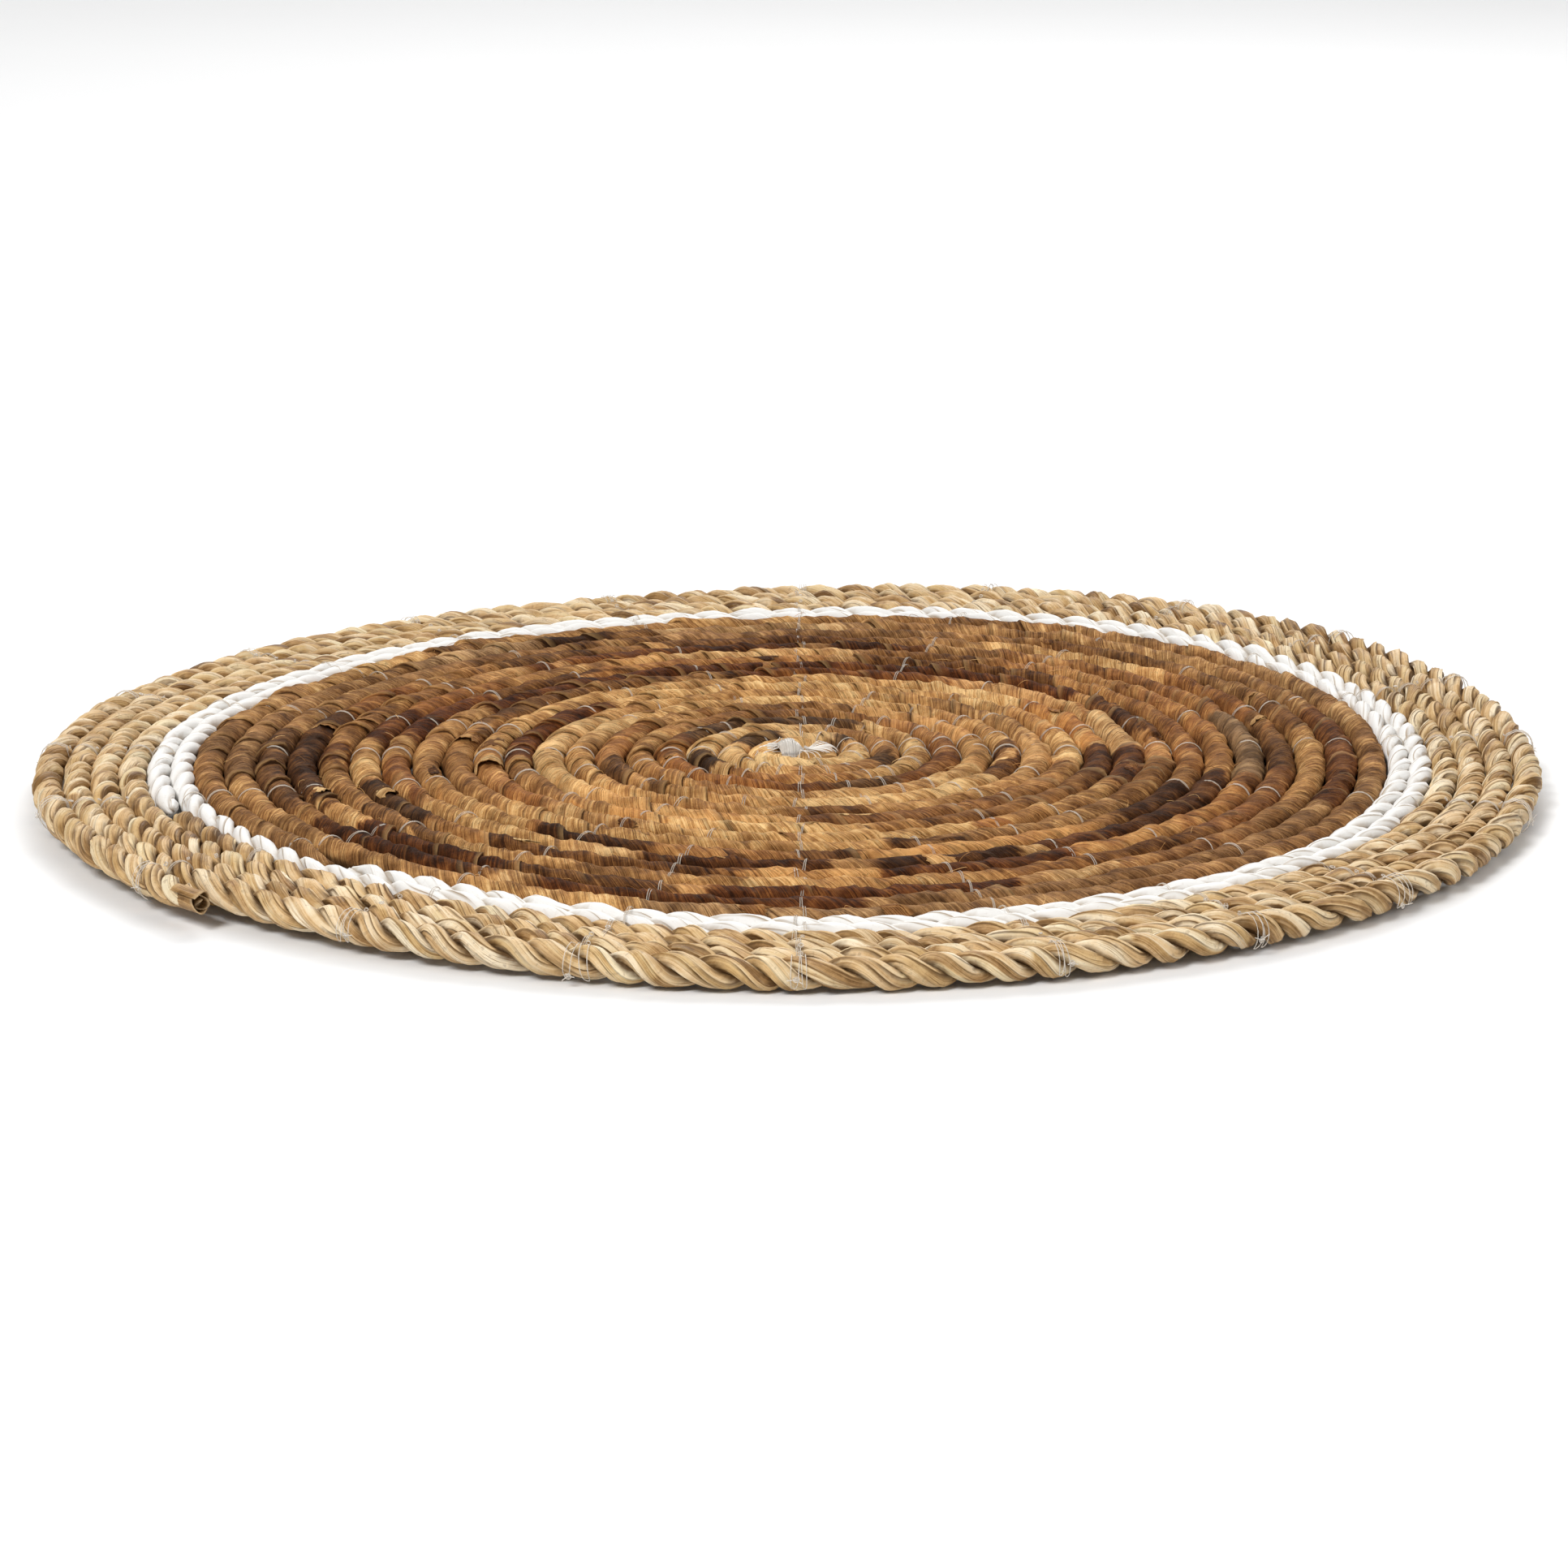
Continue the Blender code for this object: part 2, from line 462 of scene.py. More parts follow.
def bark_material(looks):
    """Dried banana bark: patches from near black through red brown to golden tan, with fine fibres."""
    material, tree, shader = new_material("banana_bark", 0.6, 0.03)
    streaks, stains, values, painted_shading = surface_inputs(tree, 75.0, 4200.0, 120.0)
    tone = uneven_tone(tree, values[0], streaks, (-0.24, 0.24), stains, (-0.27, 0.25))
    plain = ramp(tree, tone, (
        (0.0, (0.030, 0.011, 0.004)),
        (0.2, (0.092, 0.035, 0.011)),
        (0.4, (0.225, 0.097, 0.030)),
        (0.6, tuple(looks.bark_middle)),
        (0.8, tuple(looks.bark_light)),
        (1.0, (0.960, 0.640, 0.290)),
    ))
    red = ramp(tree, tone, (
        (0.0, (0.028, 0.009, 0.004)),
        (0.3, (0.135, 0.040, 0.012)),
        (0.6, (0.345, 0.125, 0.034)),
        (1.0, (0.720, 0.330, 0.090)),
    ))
    dull = ramp(tree, tone, (
        (0.0, (0.040, 0.022, 0.012)),
        (0.4, (0.175, 0.098, 0.046)),
        (0.7, (0.380, 0.225, 0.110)),
        (1.0, (0.700, 0.470, 0.260)),
    ))
    colour = mixed(tree, values[2], mixed(tree, values[1], plain, red), dull)
    colour = covered(tree, colour, (
        (streaks["Marks"], 0.42, (0.070, 0.030, 0.011)),
        (streaks["Cracks"], 0.85, (0.052, 0.021, 0.008)),
        (stains["Specks"], 0.35, (0.050, 0.022, 0.010)),
    ))
    # Painted near-black shade at the foot of each strip's step and in the groove under the rope, and a
    # painted golden highlight on the lifted edges.
    colour = painted_shade_and_highlight(tree, painted_shading, colour, (0.026, 0.011, 0.005), (0.60, 0.36, 0.15), 0.9)
    roughness = spread(tree, streaks["Streak"], 0.48, 0.70)
    height = maths(tree, "MULTIPLY_ADD", stains["Broad"], 0.4, streaks["Height"])
    finish_surface(tree, shader, {"Base Color": colour, "Roughness": roughness}, height, 1.0, 0.0010)
    return material


def leaf_material(looks):
    """Dried folded leaf: straw and tan with brown lines along it, painted shade in its folds and between
    the strands, a painted highlight on fold edges, a little glossy.
    """
    material, tree, shader = new_material("natural_leaf", 0.5, 0.12)
    streaks, stains, values, painted_shading = surface_inputs(tree, 60.0, 2100.0, 90.0)
    tone = uneven_tone(tree, values[0], streaks, (-0.20, 0.18), stains, (-0.26, 0.24))
    colour = ramp(tree, tone, (
        (0.0, (0.150, 0.074, 0.026)),
        (0.25, (0.390, 0.225, 0.092)),
        (0.50, tuple(looks.leaf_middle)),
        (0.75, tuple(looks.leaf_light)),
        (1.0, (0.860, 0.730, 0.530)),
    ))
    olive = maths(tree, "MULTIPLY", values[1], 0.5)
    colour = mixed(tree, olive, colour, (0.88, 0.88, 0.68, 1.0), "MULTIPLY")
    colour = covered(tree, colour, (
        (streaks["Cracks"], 0.75, (0.190, 0.095, 0.033)),
        (streaks["Marks"], 0.4, (0.310, 0.170, 0.060)),
        (stains["Specks"], 0.4, (0.28, 0.150, 0.06)),
    ))
    # Painted dark brown shade at the foot of each leaf's fold and where the strand turns to the other one,
    # and a painted pale highlight on the folds' edges.
    colour = painted_shade_and_highlight(tree, painted_shading, colour, (0.105, 0.052, 0.018), (0.90, 0.73, 0.47), 0.95)
    roughness = spread(tree, stains["Broad"], 0.38, 0.58)
    inputs = {"Base Color": colour, "Roughness": roughness}
    finish_surface(tree, shader, inputs, streaks["Height"], 0.9, 0.0006)
    return material


def paint_material(looks):
    """White paint soaked into twisted cord, with beige where it is thin, a few specks, and painted beige
    shade in its folds and between its strands.
    """
    material, tree, shader = new_material("white_paint", 0.6, 0.2)
    streaks, stains, values, painted_shading = surface_inputs(tree, 40.0, 900.0, 120.0)
    # thin holds the painted beige shade in the folds and between the strands, and the real thin paint at
    # cracks and specks.
    thin = maths(tree, "MULTIPLY", maths(tree, "MAXIMUM", painted_shading, 0.0), 0.95)
    for mask, share in ((streaks["Cracks"], 0.16), (stains["Specks"], 0.12)):
        thin = maths(tree, "MAXIMUM", thin, maths(tree, "MULTIPLY", mask, share))
    colour = mixed(tree, thin, (*looks.cord_white, 1.0), (0.32, 0.225, 0.13, 1.0))
    roughness = spread(tree, values[0], 0.5, 0.7)
    inputs = {"Base Color": colour, "Roughness": roughness}
    finish_surface(tree, shader, inputs, streaks["Height"], 0.6, 0.0004)
    return material


def nylon_material(looks):
    """Clear nylon filament: it takes the colour under it in a stitch, and is whitish in a bundle."""
    material, tree, shader = new_material("clear_nylon", 0.22)
    cloud = noise(tree, object_place(tree), 500.0)
    share = maths(tree, "ADD", strip_values(tree)[0], spread(tree, cloud, -0.2, 0.2))
    colour = mixed(tree, share, (0.56, 0.46, 0.34, 1.0), (*looks.nylon, 1.0))
    inputs = {"Base Color": colour, "Alpha": spread(tree, share, 0.38, 0.62)}
    finish_surface(tree, shader, inputs, cloud, 0.4, 0.0001)
    return material


# The bark rope is shown as three pieces, parted at these turns.
BARK_PARTS = (
    ("bark_inner", -18.75, -7.6),
    ("bark_middle", -7.6, -3.2),
    ("bark_outer", -3.2, 0.0),
)
# Places across one wrapped strip where the mesh has a row: the last two make its overlapping edge.
STRIP_ROWS = (0.0, 0.07, 0.16, 0.26, 0.36, 0.46, 0.56, 0.66, 0.76, 0.87, 0.975, 1.0)
EDGE_ROW = STRIP_ROWS[-2]

# Tones of the dark, middling and light strips, the shares that are dark and that aren't light, and the
# share that is red.
STRIP_TONES = ((0.14, 0.36), (0.42, 0.62), (0.62, 0.80))
DARK_SHARE = 0.22
NOT_LIGHT_SHARE = 0.74
RED_SHARE = 0.34
# The bark is lighter round the middle and at the rim: turns, and what each adds to the tone.
LIGHTER_TURNS = (-15.4, -14.0, -8.0, -6.0, -2.2, -1.5)
LIGHTER_BY = (0.15, 0.13, 0.13, 0.05, 0.04, 0.08)
# Lengths of a strip in turns round the rope, how far its cut ends slant, and its edge's height: a gamma
# distribution's shape and scale, times one of these scales with these chances.
STRIP_LENGTHS = (0.7, 4.6)
END_SLANT = 1.1
EDGE_FORM = (2.2, 0.00014)
EDGE_SCALES = (0.25, 1.0, 2.0)
EDGE_SCALE_SHARES = (0.30, 0.42, 0.28)

# Relief of the wrapped bark, the lengths over which the rope's two ends thin, the edge height that gives a
# step its full painted shade, and the painted shade in the groove under the rope.
PITCH_WANDER = 0.0034
LUMPS = 10
LUMP_DEPTH = 0.00009
SWELL_DEPTH = 0.00016
EDGE_LIMITS = (0.00001, 0.0011)
RIDGE_DEPTH = 0.00021
LAID_ON_DEPTH = 0.00018
SIDE_WANDER = 0.00012
START_TAPER = 0.012
END_TAPER = 0.014
BARK_TALLER = 1.03
FULL_SHADE_EDGE = 0.0004
GROOVE_SHADE = 0.92

# Stretches of bark that stand out: first and last turn, tone, redness and dullness.
BARK_PATCHES = (
    (-7.52, -7.20, 0.24, 0.95, 0.0),
    (-8.45, -8.34, 0.30, 0.90, 0.0),
    (-1.31, -1.285, 0.04, 0.2, 0.2),
    (-3.40, -3.33, 0.30, 0.5, 0.2),
    (-4.37, -4.33, 0.12, 0.6, 0.0),
    (-4.42, -4.385, 0.14, 0.6, 0.0),
    (-9.42, -9.12, 0.74, 0.1, 0.0),
    (-10.52, -10.24, 0.76, 0.0, 0.0),
    (-11.46, -11.22, 0.70, 0.1, 0.0),
    (-12.48, -12.22, 0.80, 0.0, 0.0),
    (-13.40, -13.28, 0.50, 0.2, 0.1),
    (-14.42, -14.30, 0.42, 0.3, 0.1),
    (-15.46, -15.18, 0.18, 0.1, 0.5),
    (-17.31, -17.18, 0.20, 0.0, 0.8),
    (-17.55, -17.49, 0.24, 0.0, 0.7),
    (-18.75, -17.62, 0.84, 0.0, 0.0),
    (-16.11, -16.02, 0.12, 0.0, 0.7),
    (-16.70, -16.63, 0.22, 0.1, 0.6),
    (-14.84, -14.76, 0.30, 0.1, 0.4),
    (-6.22, -6.14, 0.26, 1.0, 0.0),
    (-5.18, -5.13, 0.24, 0.9, 0.0),
    (-3.17, -3.05, 0.16, 0.4, 0.2),
    (-4.10, -4.04, 0.58, 0.1, 0.0),
    (-2.14, -2.05, 0.30, 0.3, 0.3),
    (-5.07, -5.02, 0.10, 0.2, 0.4),
    (-2.03, -1.965, 0.16, 0.7, 0.0),
    (-3.02, -2.96, 0.14, 0.8, 0.0),
    (-6.985, -6.935, 0.10, 0.3, 0.1),
    (-5.93, -5.86, 0.15, 0.5, 0.0),
    (-5.85, -5.79, 0.12, 0.3, 0.1),
    (-4.85, -4.78, 0.18, 0.8, 0.0),
    (-1.95, -1.86, 0.26, 0.8, 0.0),
    (-2.90, -2.81, 0.24, 0.9, 0.0),
    (-6.04, -5.96, 0.74, 0.0, 0.0),
    (-7.04, -6.99, 0.72, 0.0, 0.0),
    (-8.94, -8.79, 0.76, 0.0, 0.0),
    (-7.94, -7.84, 0.70, 0.0, 0.0),
    (-9.95, -9.84, 0.80, 0.0, 0.0),
    (-9.68, -9.61, 0.18, 0.6, 0.1),
    (-8.68, -8.62, 0.20, 0.7, 0.1),
    (-6.73, -6.67, 0.16, 0.5, 0.2),
    (-5.74, -5.66, 0.20, 0.6, 0.2),
    (-10.65, -10.57, 0.76, 0.0, 0.0),
    (-4.66, -4.57, 0.44, 0.0, 0.9),
    (-1.68, -1.58, 0.32, 0.8, 0.1),
    (-2.68, -2.60, 0.68, 0.2, 0.0),
)
PATCH_EDGE_TURN = 0.004


class BarkWrap:
    """The strip of bark wound round the rope: where each length of it ends, its look and its edge."""

    def __init__(self, sizes):
        draw = np.random.default_rng(41)
        self.pitch = sizes.wrap_pitch
        self.radius = sizes.bark_radius
        self.ends = np.cumsum(draw.uniform(*STRIP_LENGTHS, int(BARK_ROUTE.length / self.pitch)))
        count = len(self.ends)
        turn = BARK_ROUTE.turn_at(self.ends * self.pitch)
        kind = draw.random(count)
        dark, middle, light = (draw.uniform(low, high, count) for low, high in STRIP_TONES)
        tone = np.where(kind < DARK_SHARE, dark, np.where(kind < NOT_LIGHT_SHARE, middle, light))
        is_red = draw.random(count) < RED_SHARE
        redness = np.where(is_red, draw.uniform(0.5, 1.0, count), draw.uniform(0, 0.3, count))
        dullness = draw.uniform(0.0, 0.5, count) ** 2
        rim = ease((turn + 3.2) / 1.4)
        tone = tone * (1 - 0.7 * rim) + 0.7 * rim * draw.uniform(0.38, 0.60, count)
        redness = redness * (1 - 0.75 * rim)
        dullness = dullness + rim * draw.uniform(0.0, 0.4, count)
        centre = ease((-15.6 - turn) / 2.0)
        tone = tone * (1 - 0.6 * centre) + 0.6 * centre * draw.uniform(0.55, 0.90, count)
        tone = tone + np.interp(turn, LIGHTER_TURNS, LIGHTER_BY)
        redness = redness * (1 - 0.5 * centre)
        self.values = stacked(tone, redness, dullness)
        self.slants = draw.uniform(-END_SLANT, END_SLANT, count)
        heights = draw.gamma(*EDGE_FORM, count)
        self.edges = heights * draw.choice(EDGE_SCALES, count, p=EDGE_SCALE_SHARES)

    def strip_at(self, revolution):
        return np.clip(np.searchsorted(self.ends, revolution, side="right"), 0, len(self.ends) - 1)

    def look_at(self, revolution, across, along):
        """Tone, redness and dullness of the strip at points of the wrap, its ends cut on a slant."""
        near = self.strip_at(revolution)
        look = self.values[self.strip_at(revolution + self.slants[near] * (across - 0.5))]
        uneven = ripple(revolution + across, 91, longest=3.1, shortest=0.4)
        turn = BARK_ROUTE.turn_at(along + 0.003 * uneven)
        for first, last, *wanted in BARK_PATCHES:
            inside = np.minimum(turn - first, last - turn)
            share = ease(inside / PATCH_EDGE_TURN + 0.5)[..., None]
            look = look * (1 - share) + np.asarray(wanted) * share
        return look


def bark_piece(wrap, name, first_turn, last_turn, steps):
    """A stretch of the wrapped rope, whose mesh runs along the wound strip so its edges are real steps."""
    start, stop = BARK_ROUTE.length_at(first_turn), BARK_ROUTE.length_at(last_turn)
    low = math.floor(start / wrap.pitch) - 2
    high = math.ceil(stop / wrap.pitch) + 2
    revolution = np.arange(low * steps, high * steps + 1)[:, None] / steps
    across = np.asarray(STRIP_ROWS)[None, :]
    along = wrap.pitch * (revolution + across - 0.5)
    along = along + PITCH_WANDER * ripple(along, 71, longest=0.2, shortest=0.06)
    angle = -math.tau * revolution + 0 * across
    draw = np.random.default_rng(7)
    lump = 0.0
    for _ in range(LUMPS):
        twist = draw.integers(-2, 3)
        wave = along * math.tau / draw.uniform(0.006, 0.030)
        lump = lump + np.sin(wave + twist * angle + draw.uniform(0, 9))
    lump = lump * LUMP_DEPTH + ripple(along, 19, longest=0.16, shortest=0.03) * SWELL_DEPTH
    strip = wrap.strip_at(revolution)
    edge = wrap.edges[strip] * (1 + 0.7 * ripple(revolution, 3, longest=2.3, shortest=0.31))
    edge = np.clip(edge, *EDGE_LIMITS)
    inside = (across > 0) & (across < 1)
    rise = np.where(inside, edge * (0.15 + 0.85 * across**2.2), 0.0)
    ridge = np.zeros_like(along)
    for column in range(1, across.shape[1] - 1):
        ridge[:, column] = ripple(revolution[:, 0], 100 + column, longest=1.7, shortest=0.13) * RIDGE_DEPTH
    since_start = revolution - wrap.ends[np.clip(strip - 1, 0, None)]
    near_end = np.minimum(since_start, wrap.ends[strip] - revolution)
    laid_on = LAID_ON_DEPTH * (1 - ease(near_end / 0.2)) * inside
    radius = wrap.radius + lump + rise + ridge * inside + laid_on
    next_strip = across == 1.0
    at_edge = across == EDGE_ROW
    look = wrap.look_at(revolution + next_strip, np.where(next_strip, 0.0, across), along)
    along = along + np.where(at_edge, edge * 0.9, 0.0)
    taper = 0.45 + 0.55 * ease(along / START_TAPER)
    taper = taper * (0.35 + 0.65 * ease((BARK_ROUTE.length - along) / END_TAPER))
    radius = np.where((along < start) | (along > stop), 0.0, radius * taper)
    along = np.clip(along, start, stop)
    wander = ripple(along, 29, longest=0.14, shortest=0.04) * SIDE_WANDER
    points = place(
        BARK_ROUTE.turn_at(along),
        radius * np.cos(angle) + wander,
        BARK_HEIGHT + radius * np.sin(angle) * BARK_TALLER,
    )
    fibre_length = math.hypot(math.tau * wrap.radius, wrap.pitch)
    slant = math.tau * wrap.radius / fibre_length
    fibre = stacked(revolution * fibre_length, across * wrap.pitch * slant)
    # Painted shade at the foot of each strip's step, deeper for a higher edge, a painted highlight on the
    # edge above it, and painted shade in the groove under the rope.
    depth = np.clip(edge / FULL_SHADE_EDGE, 0, 1)
    painted_shading = np.where(next_strip, depth, np.where(at_edge, -0.6 * depth**2, 0.0))
    painted_shading = np.where(across == 0.0, np.roll(painted_shading[:, -1:], steps, axis=0), painted_shading)
    groove = GROOVE_SHADE * ease((0.42 - np.sin(angle)) / 0.55)
    painted_shading = np.where(groove > 0.03, np.maximum(painted_shading, groove), painted_shading)
    return bent_grid(name, points, look, fibre, painted_shading)


# The part of a strand's way round that a folded leaf's edge takes.
EDGE_SHARE = 0.012
# A strand: the length of one twist, the mesh's step and places around, its leaves and how they roll, half
# sizes towards and across the other strand, distance from the rope's middle, squeeze, height of leaf edges
# and wrinkles, tone and its spread, how much darker it starts, and the painted shade where it lies against
# the other strand.
LEAF_STRAND = {
    "lay": 0.0188, "step": 0.00118, "around": 19, "leaves": 6, "roll": -0.45, "deep": 0.00210,
    "wide": 0.00270, "apart": 0.00160, "squeeze": 0.93, "leaf_step": 0.00036, "wrinkle": 0.00009,
    "tone": 0.56, "tone_spread": 0.20, "start_shade": 0.22, "painted_shade_between": 1.0,
}
CORD_STRAND = {
    "lay": 0.0215, "step": 0.0011, "around": 13, "leaves": 3, "roll": -0.5, "deep": 0.00205,
    "wide": 0.0024, "apart": 0.00125, "squeeze": 0.92, "leaf_step": 0.00012, "wrinkle": 0.00007,
    "tone": 0.5, "tone_spread": 0.1, "start_shade": 0.0, "painted_shade_between": 0.75,
}
# Lengths over which a strand thins at its ends and meets the other one there, and its sideways wander.
STRAND_TAPER = 0.008
STRAND_MEETING = 0.010
STRAND_WANDER = 0.00022


def strand_mesh(name, route, middle, sizes, phase, seed):
    """One strand of a two-ply rope, with folded leaf edges that run along it, pointed at both ends."""
    draw = np.random.default_rng(seed)
    leaves = sizes["leaves"]
    rings = int(route.length / sizes["step"])
    along = np.linspace(0.0, route.length, rings)[:, None]
    ply = -math.tau * along / sizes["lay"] + phase + 0.5 * ripple(along, 150, longest=0.20, shortest=0.03)
    ply = ply + 0.20 * ripple(along, seed + 1, longest=0.07, shortest=0.02)
    edges = np.sort((np.arange(leaves) + draw.uniform(-0.3, 0.3, leaves)) / leaves)
    plain = np.linspace(0, 1, sizes["around"] - leaves + 1)[:-1]
    clear = np.min(np.abs((plain[:, None] - edges + 0.5) % 1.0 - 0.5), axis=1) > 0.02
    shares = np.sort(np.concatenate((plain[clear], edges, edges + EDGE_SHARE)) % 1.0)
    all_round = np.append(shares, shares[0] + 1.0)[None, :]
    roll = sizes["roll"] * ply + 0.5 * ripple(along, seed + 2, longest=0.12, shortest=0.02)
    around = math.tau * all_round - roll
    facing = around - ply
    flat = 1 - 0.18 * np.maximum(-np.cos(facing), 0) ** 2
    radius = flat / np.sqrt((np.cos(facing) / sizes["deep"]) ** 2 + (np.sin(facing) / sizes["wide"]) ** 2)
    swell = 1 + 0.10 * ripple(along, seed + 3, longest=0.05, shortest=0.012)
    profile = np.zeros((rings, len(shares)))
    painted_shading = np.zeros((rings, len(shares)))
    # Each leaf edge gets painted shade at its foot and a painted highlight on its top.
    for number, edge in enumerate(edges):
        fold = 0.6 + 0.6 * ripple(along[:, 0], seed + 10 + number, longest=0.05, shortest=0.008)
        fold = np.clip(fold, 0, 1.4)[:, None]
        after = (shares - edge) % 1.0
        width = (edges[(number + 1) % leaves] - edge) % 1.0
        fall = np.clip(1 - after / width, 0.0, 1.0) ** 1.3
        foot = np.isclose(after, 0.0) | np.isclose(after, 1.0)
        top = np.isclose(after, EDGE_SHARE)
        profile += fold * np.where(foot, 0.0, fall) * sizes["leaf_step"]
        painted_shading += fold * foot - 0.4 * fold * top
    # Painted shade on the side of the strand that turns towards the other strand.
    painted_shade_between = ease((-np.cos(facing[:, :-1]) - 0.12) / 0.50) * sizes["painted_shade_between"]
    painted_shading = np.where(painted_shade_between > 0.05, np.maximum(painted_shading, painted_shade_between), painted_shading)
    for column in range(len(shares)):
        wrinkles = ripple(along[:, 0], seed + 50 + column, longest=0.02, shortest=0.004)
        profile[:, column] += wrinkles * sizes["wrinkle"]
    sector = (np.searchsorted(edges, shares + EDGE_SHARE / 2, side="right") - 1) % leaves
    marks = np.cumsum(draw.uniform(0.012, 0.07, rings))
    segment = np.searchsorted(marks, along[:, 0])
    tones = draw.normal(sizes["tone"], sizes["tone_spread"], (segment.max() + 1, leaves))
    olive = draw.random((segment.max() + 1, leaves)) ** 2
    tone = tones[segment][:, sector] - sizes["start_shade"] * (1 - ease(along / 0.10))
    strip = stacked(np.clip(tone, 0.05, 0.95), olive[segment][:, sector], 0.0)
    close = list(range(len(shares))) + [0]
    end = np.minimum(along, route.length - along)
    taper = 0.45 + 0.55 * ease(end / STRAND_TAPER)
    taper[0] = taper[-1] = 0.0
    radius = (radius * swell + profile[:, close]) * taper
    centre = sizes["apart"] * (0.4 + 0.6 * ease(end / STRAND_MEETING))
    outward = (centre * np.cos(ply) + radius * np.cos(around)) * sizes["squeeze"]
    outward = outward + STRAND_WANDER * ripple(along, 160, longest=0.15, shortest=0.02)
    height = middle + centre * np.sin(ply) + radius * np.sin(around)
    points = place(route.turn_at(along), outward, height)
    fibre = stacked(along, all_round * math.tau * sizes["wide"] * 0.9)
    return bent_grid(name, points, strip[:, close], fibre, np.clip(painted_shading, -1, 1)[:, close])


# Azimuths in degrees of the lines of sewing at the rim, read off the photo.
SEWING_AZIMUTHS = (
    3, 20, 37, 54, 73, 90, 108, 128, 147, 165, 184, 201, 220, 238, 255, 270, 288, 304, 319, 343,
)
# The two lines that cross every rope: on the others a stitch sometimes lies hidden in the bark.
STRAIGHT_LINES = (90, 270)
HIDDEN_SHARE = 0.38
# Half width and half height of a stitch over each rope, the height of its middle, and its filaments.
BARK_STITCH = (0.00375, 0.0040, BARK_HEIGHT, 2)
CORD_STITCH = (0.0029, 0.0034, CORD_HEIGHT, 2)
ROPE_STITCH = (0.0034, 0.0038, ROPE_HEIGHT, 3)
STITCH_LEAN = 0.0022
STITCH_POINTS = 14
# The arc of a stitch in half circles: where it starts, below the rope's side, and how far it goes.
ARC_START = 1.12
ARC_SWEEP = 1.24


def arc_over(turn, middle, half_width, half_height, lean, shift):
    """A filament's way over one rope: out of one groove, over the top and down into the next."""
    share = np.linspace(0.0, 1.0, STITCH_POINTS)
    angle = math.pi * (ARC_START - ARC_SWEEP * share)
    along = lean * (share - 0.5) + shift
    return place(past(turn, along), np.cos(angle) * half_width, middle + np.sin(angle) * half_height)


def sewing_tracks(sizes):
    """The filaments over each rope on each line of sewing, up to the rim."""
    draw = np.random.default_rng(23)
    tracks = []
    for azimuth in SEWING_AZIMUTHS:
        line = draw.uniform(-1, 1)
        straight = azimuth in STRAIGHT_LINES
        for turn in np.arange(turn_share(azimuth) - 19, ROPE_TURNS[1] - 1.0, 1.0):
            hidden = draw.random() < HIDDEN_SHARE and not straight
            if turn < BARK_TURNS[0] + 0.9 or hidden:
                continue
            half_width, half_height, middle, filaments = BARK_STITCH
            if turn > ROPE_TURNS[0]:
                half_width, half_height, middle, filaments = ROPE_STITCH
            elif turn > CORD_TURNS[0]:
                half_width, half_height, middle, filaments = CORD_STITCH
            lean = draw.uniform(-STITCH_LEAN, STITCH_LEAN)
            nearer = min(float(path_radius(turn)) / 0.05, 1.0)
            wander = (line * 0.002 + draw.uniform(-0.0014, 0.0014)) * nearer
            for number in range(filaments):
                apart = (number - (filaments - 1) / 2) * sizes.filament_gap * draw.uniform(0.6, 1.4)
                lift = draw.uniform(0.0, 0.0002)
                this_lean = lean + draw.uniform(-0.0006, 0.0006)
                tracks.append(arc_over(
                    turn, middle, half_width + lift, half_height + lift, this_lean, wander + apart,
                ))
    return np.array(tracks)


# The loops over the outer rope and the knots in them: sizes across and up, and where each knot lies.
LOOP_HALF = (0.0039, 0.0041)
KNOT_OUTWARD = 0.0042
KNOT_HEIGHTS = (0.0014, 0.0040)
GROOVE_KNOT = (0.0034, 0.0072)
RIM_POINTS = 26


def tangle(draw, turn, outward, height, loops, size):
    """The loops of a small knot of filament beside the path."""
    share = np.linspace(0, 1, RIM_POINTS)
    tracks = []
    for _ in range(loops):
        tilt, start = draw.uniform(0, math.pi), draw.uniform(0, math.tau)
        reach = size * draw.uniform(0.5, 1.0)
        angle = start + share * math.tau * 0.95
        sideways = outward + reach * np.sin(angle) * math.cos(tilt)
        upward = height + reach * np.sin(angle) * math.sin(tilt)
        tracks.append(place(past(turn, reach * np.cos(angle)), sideways, upward))
    return tracks


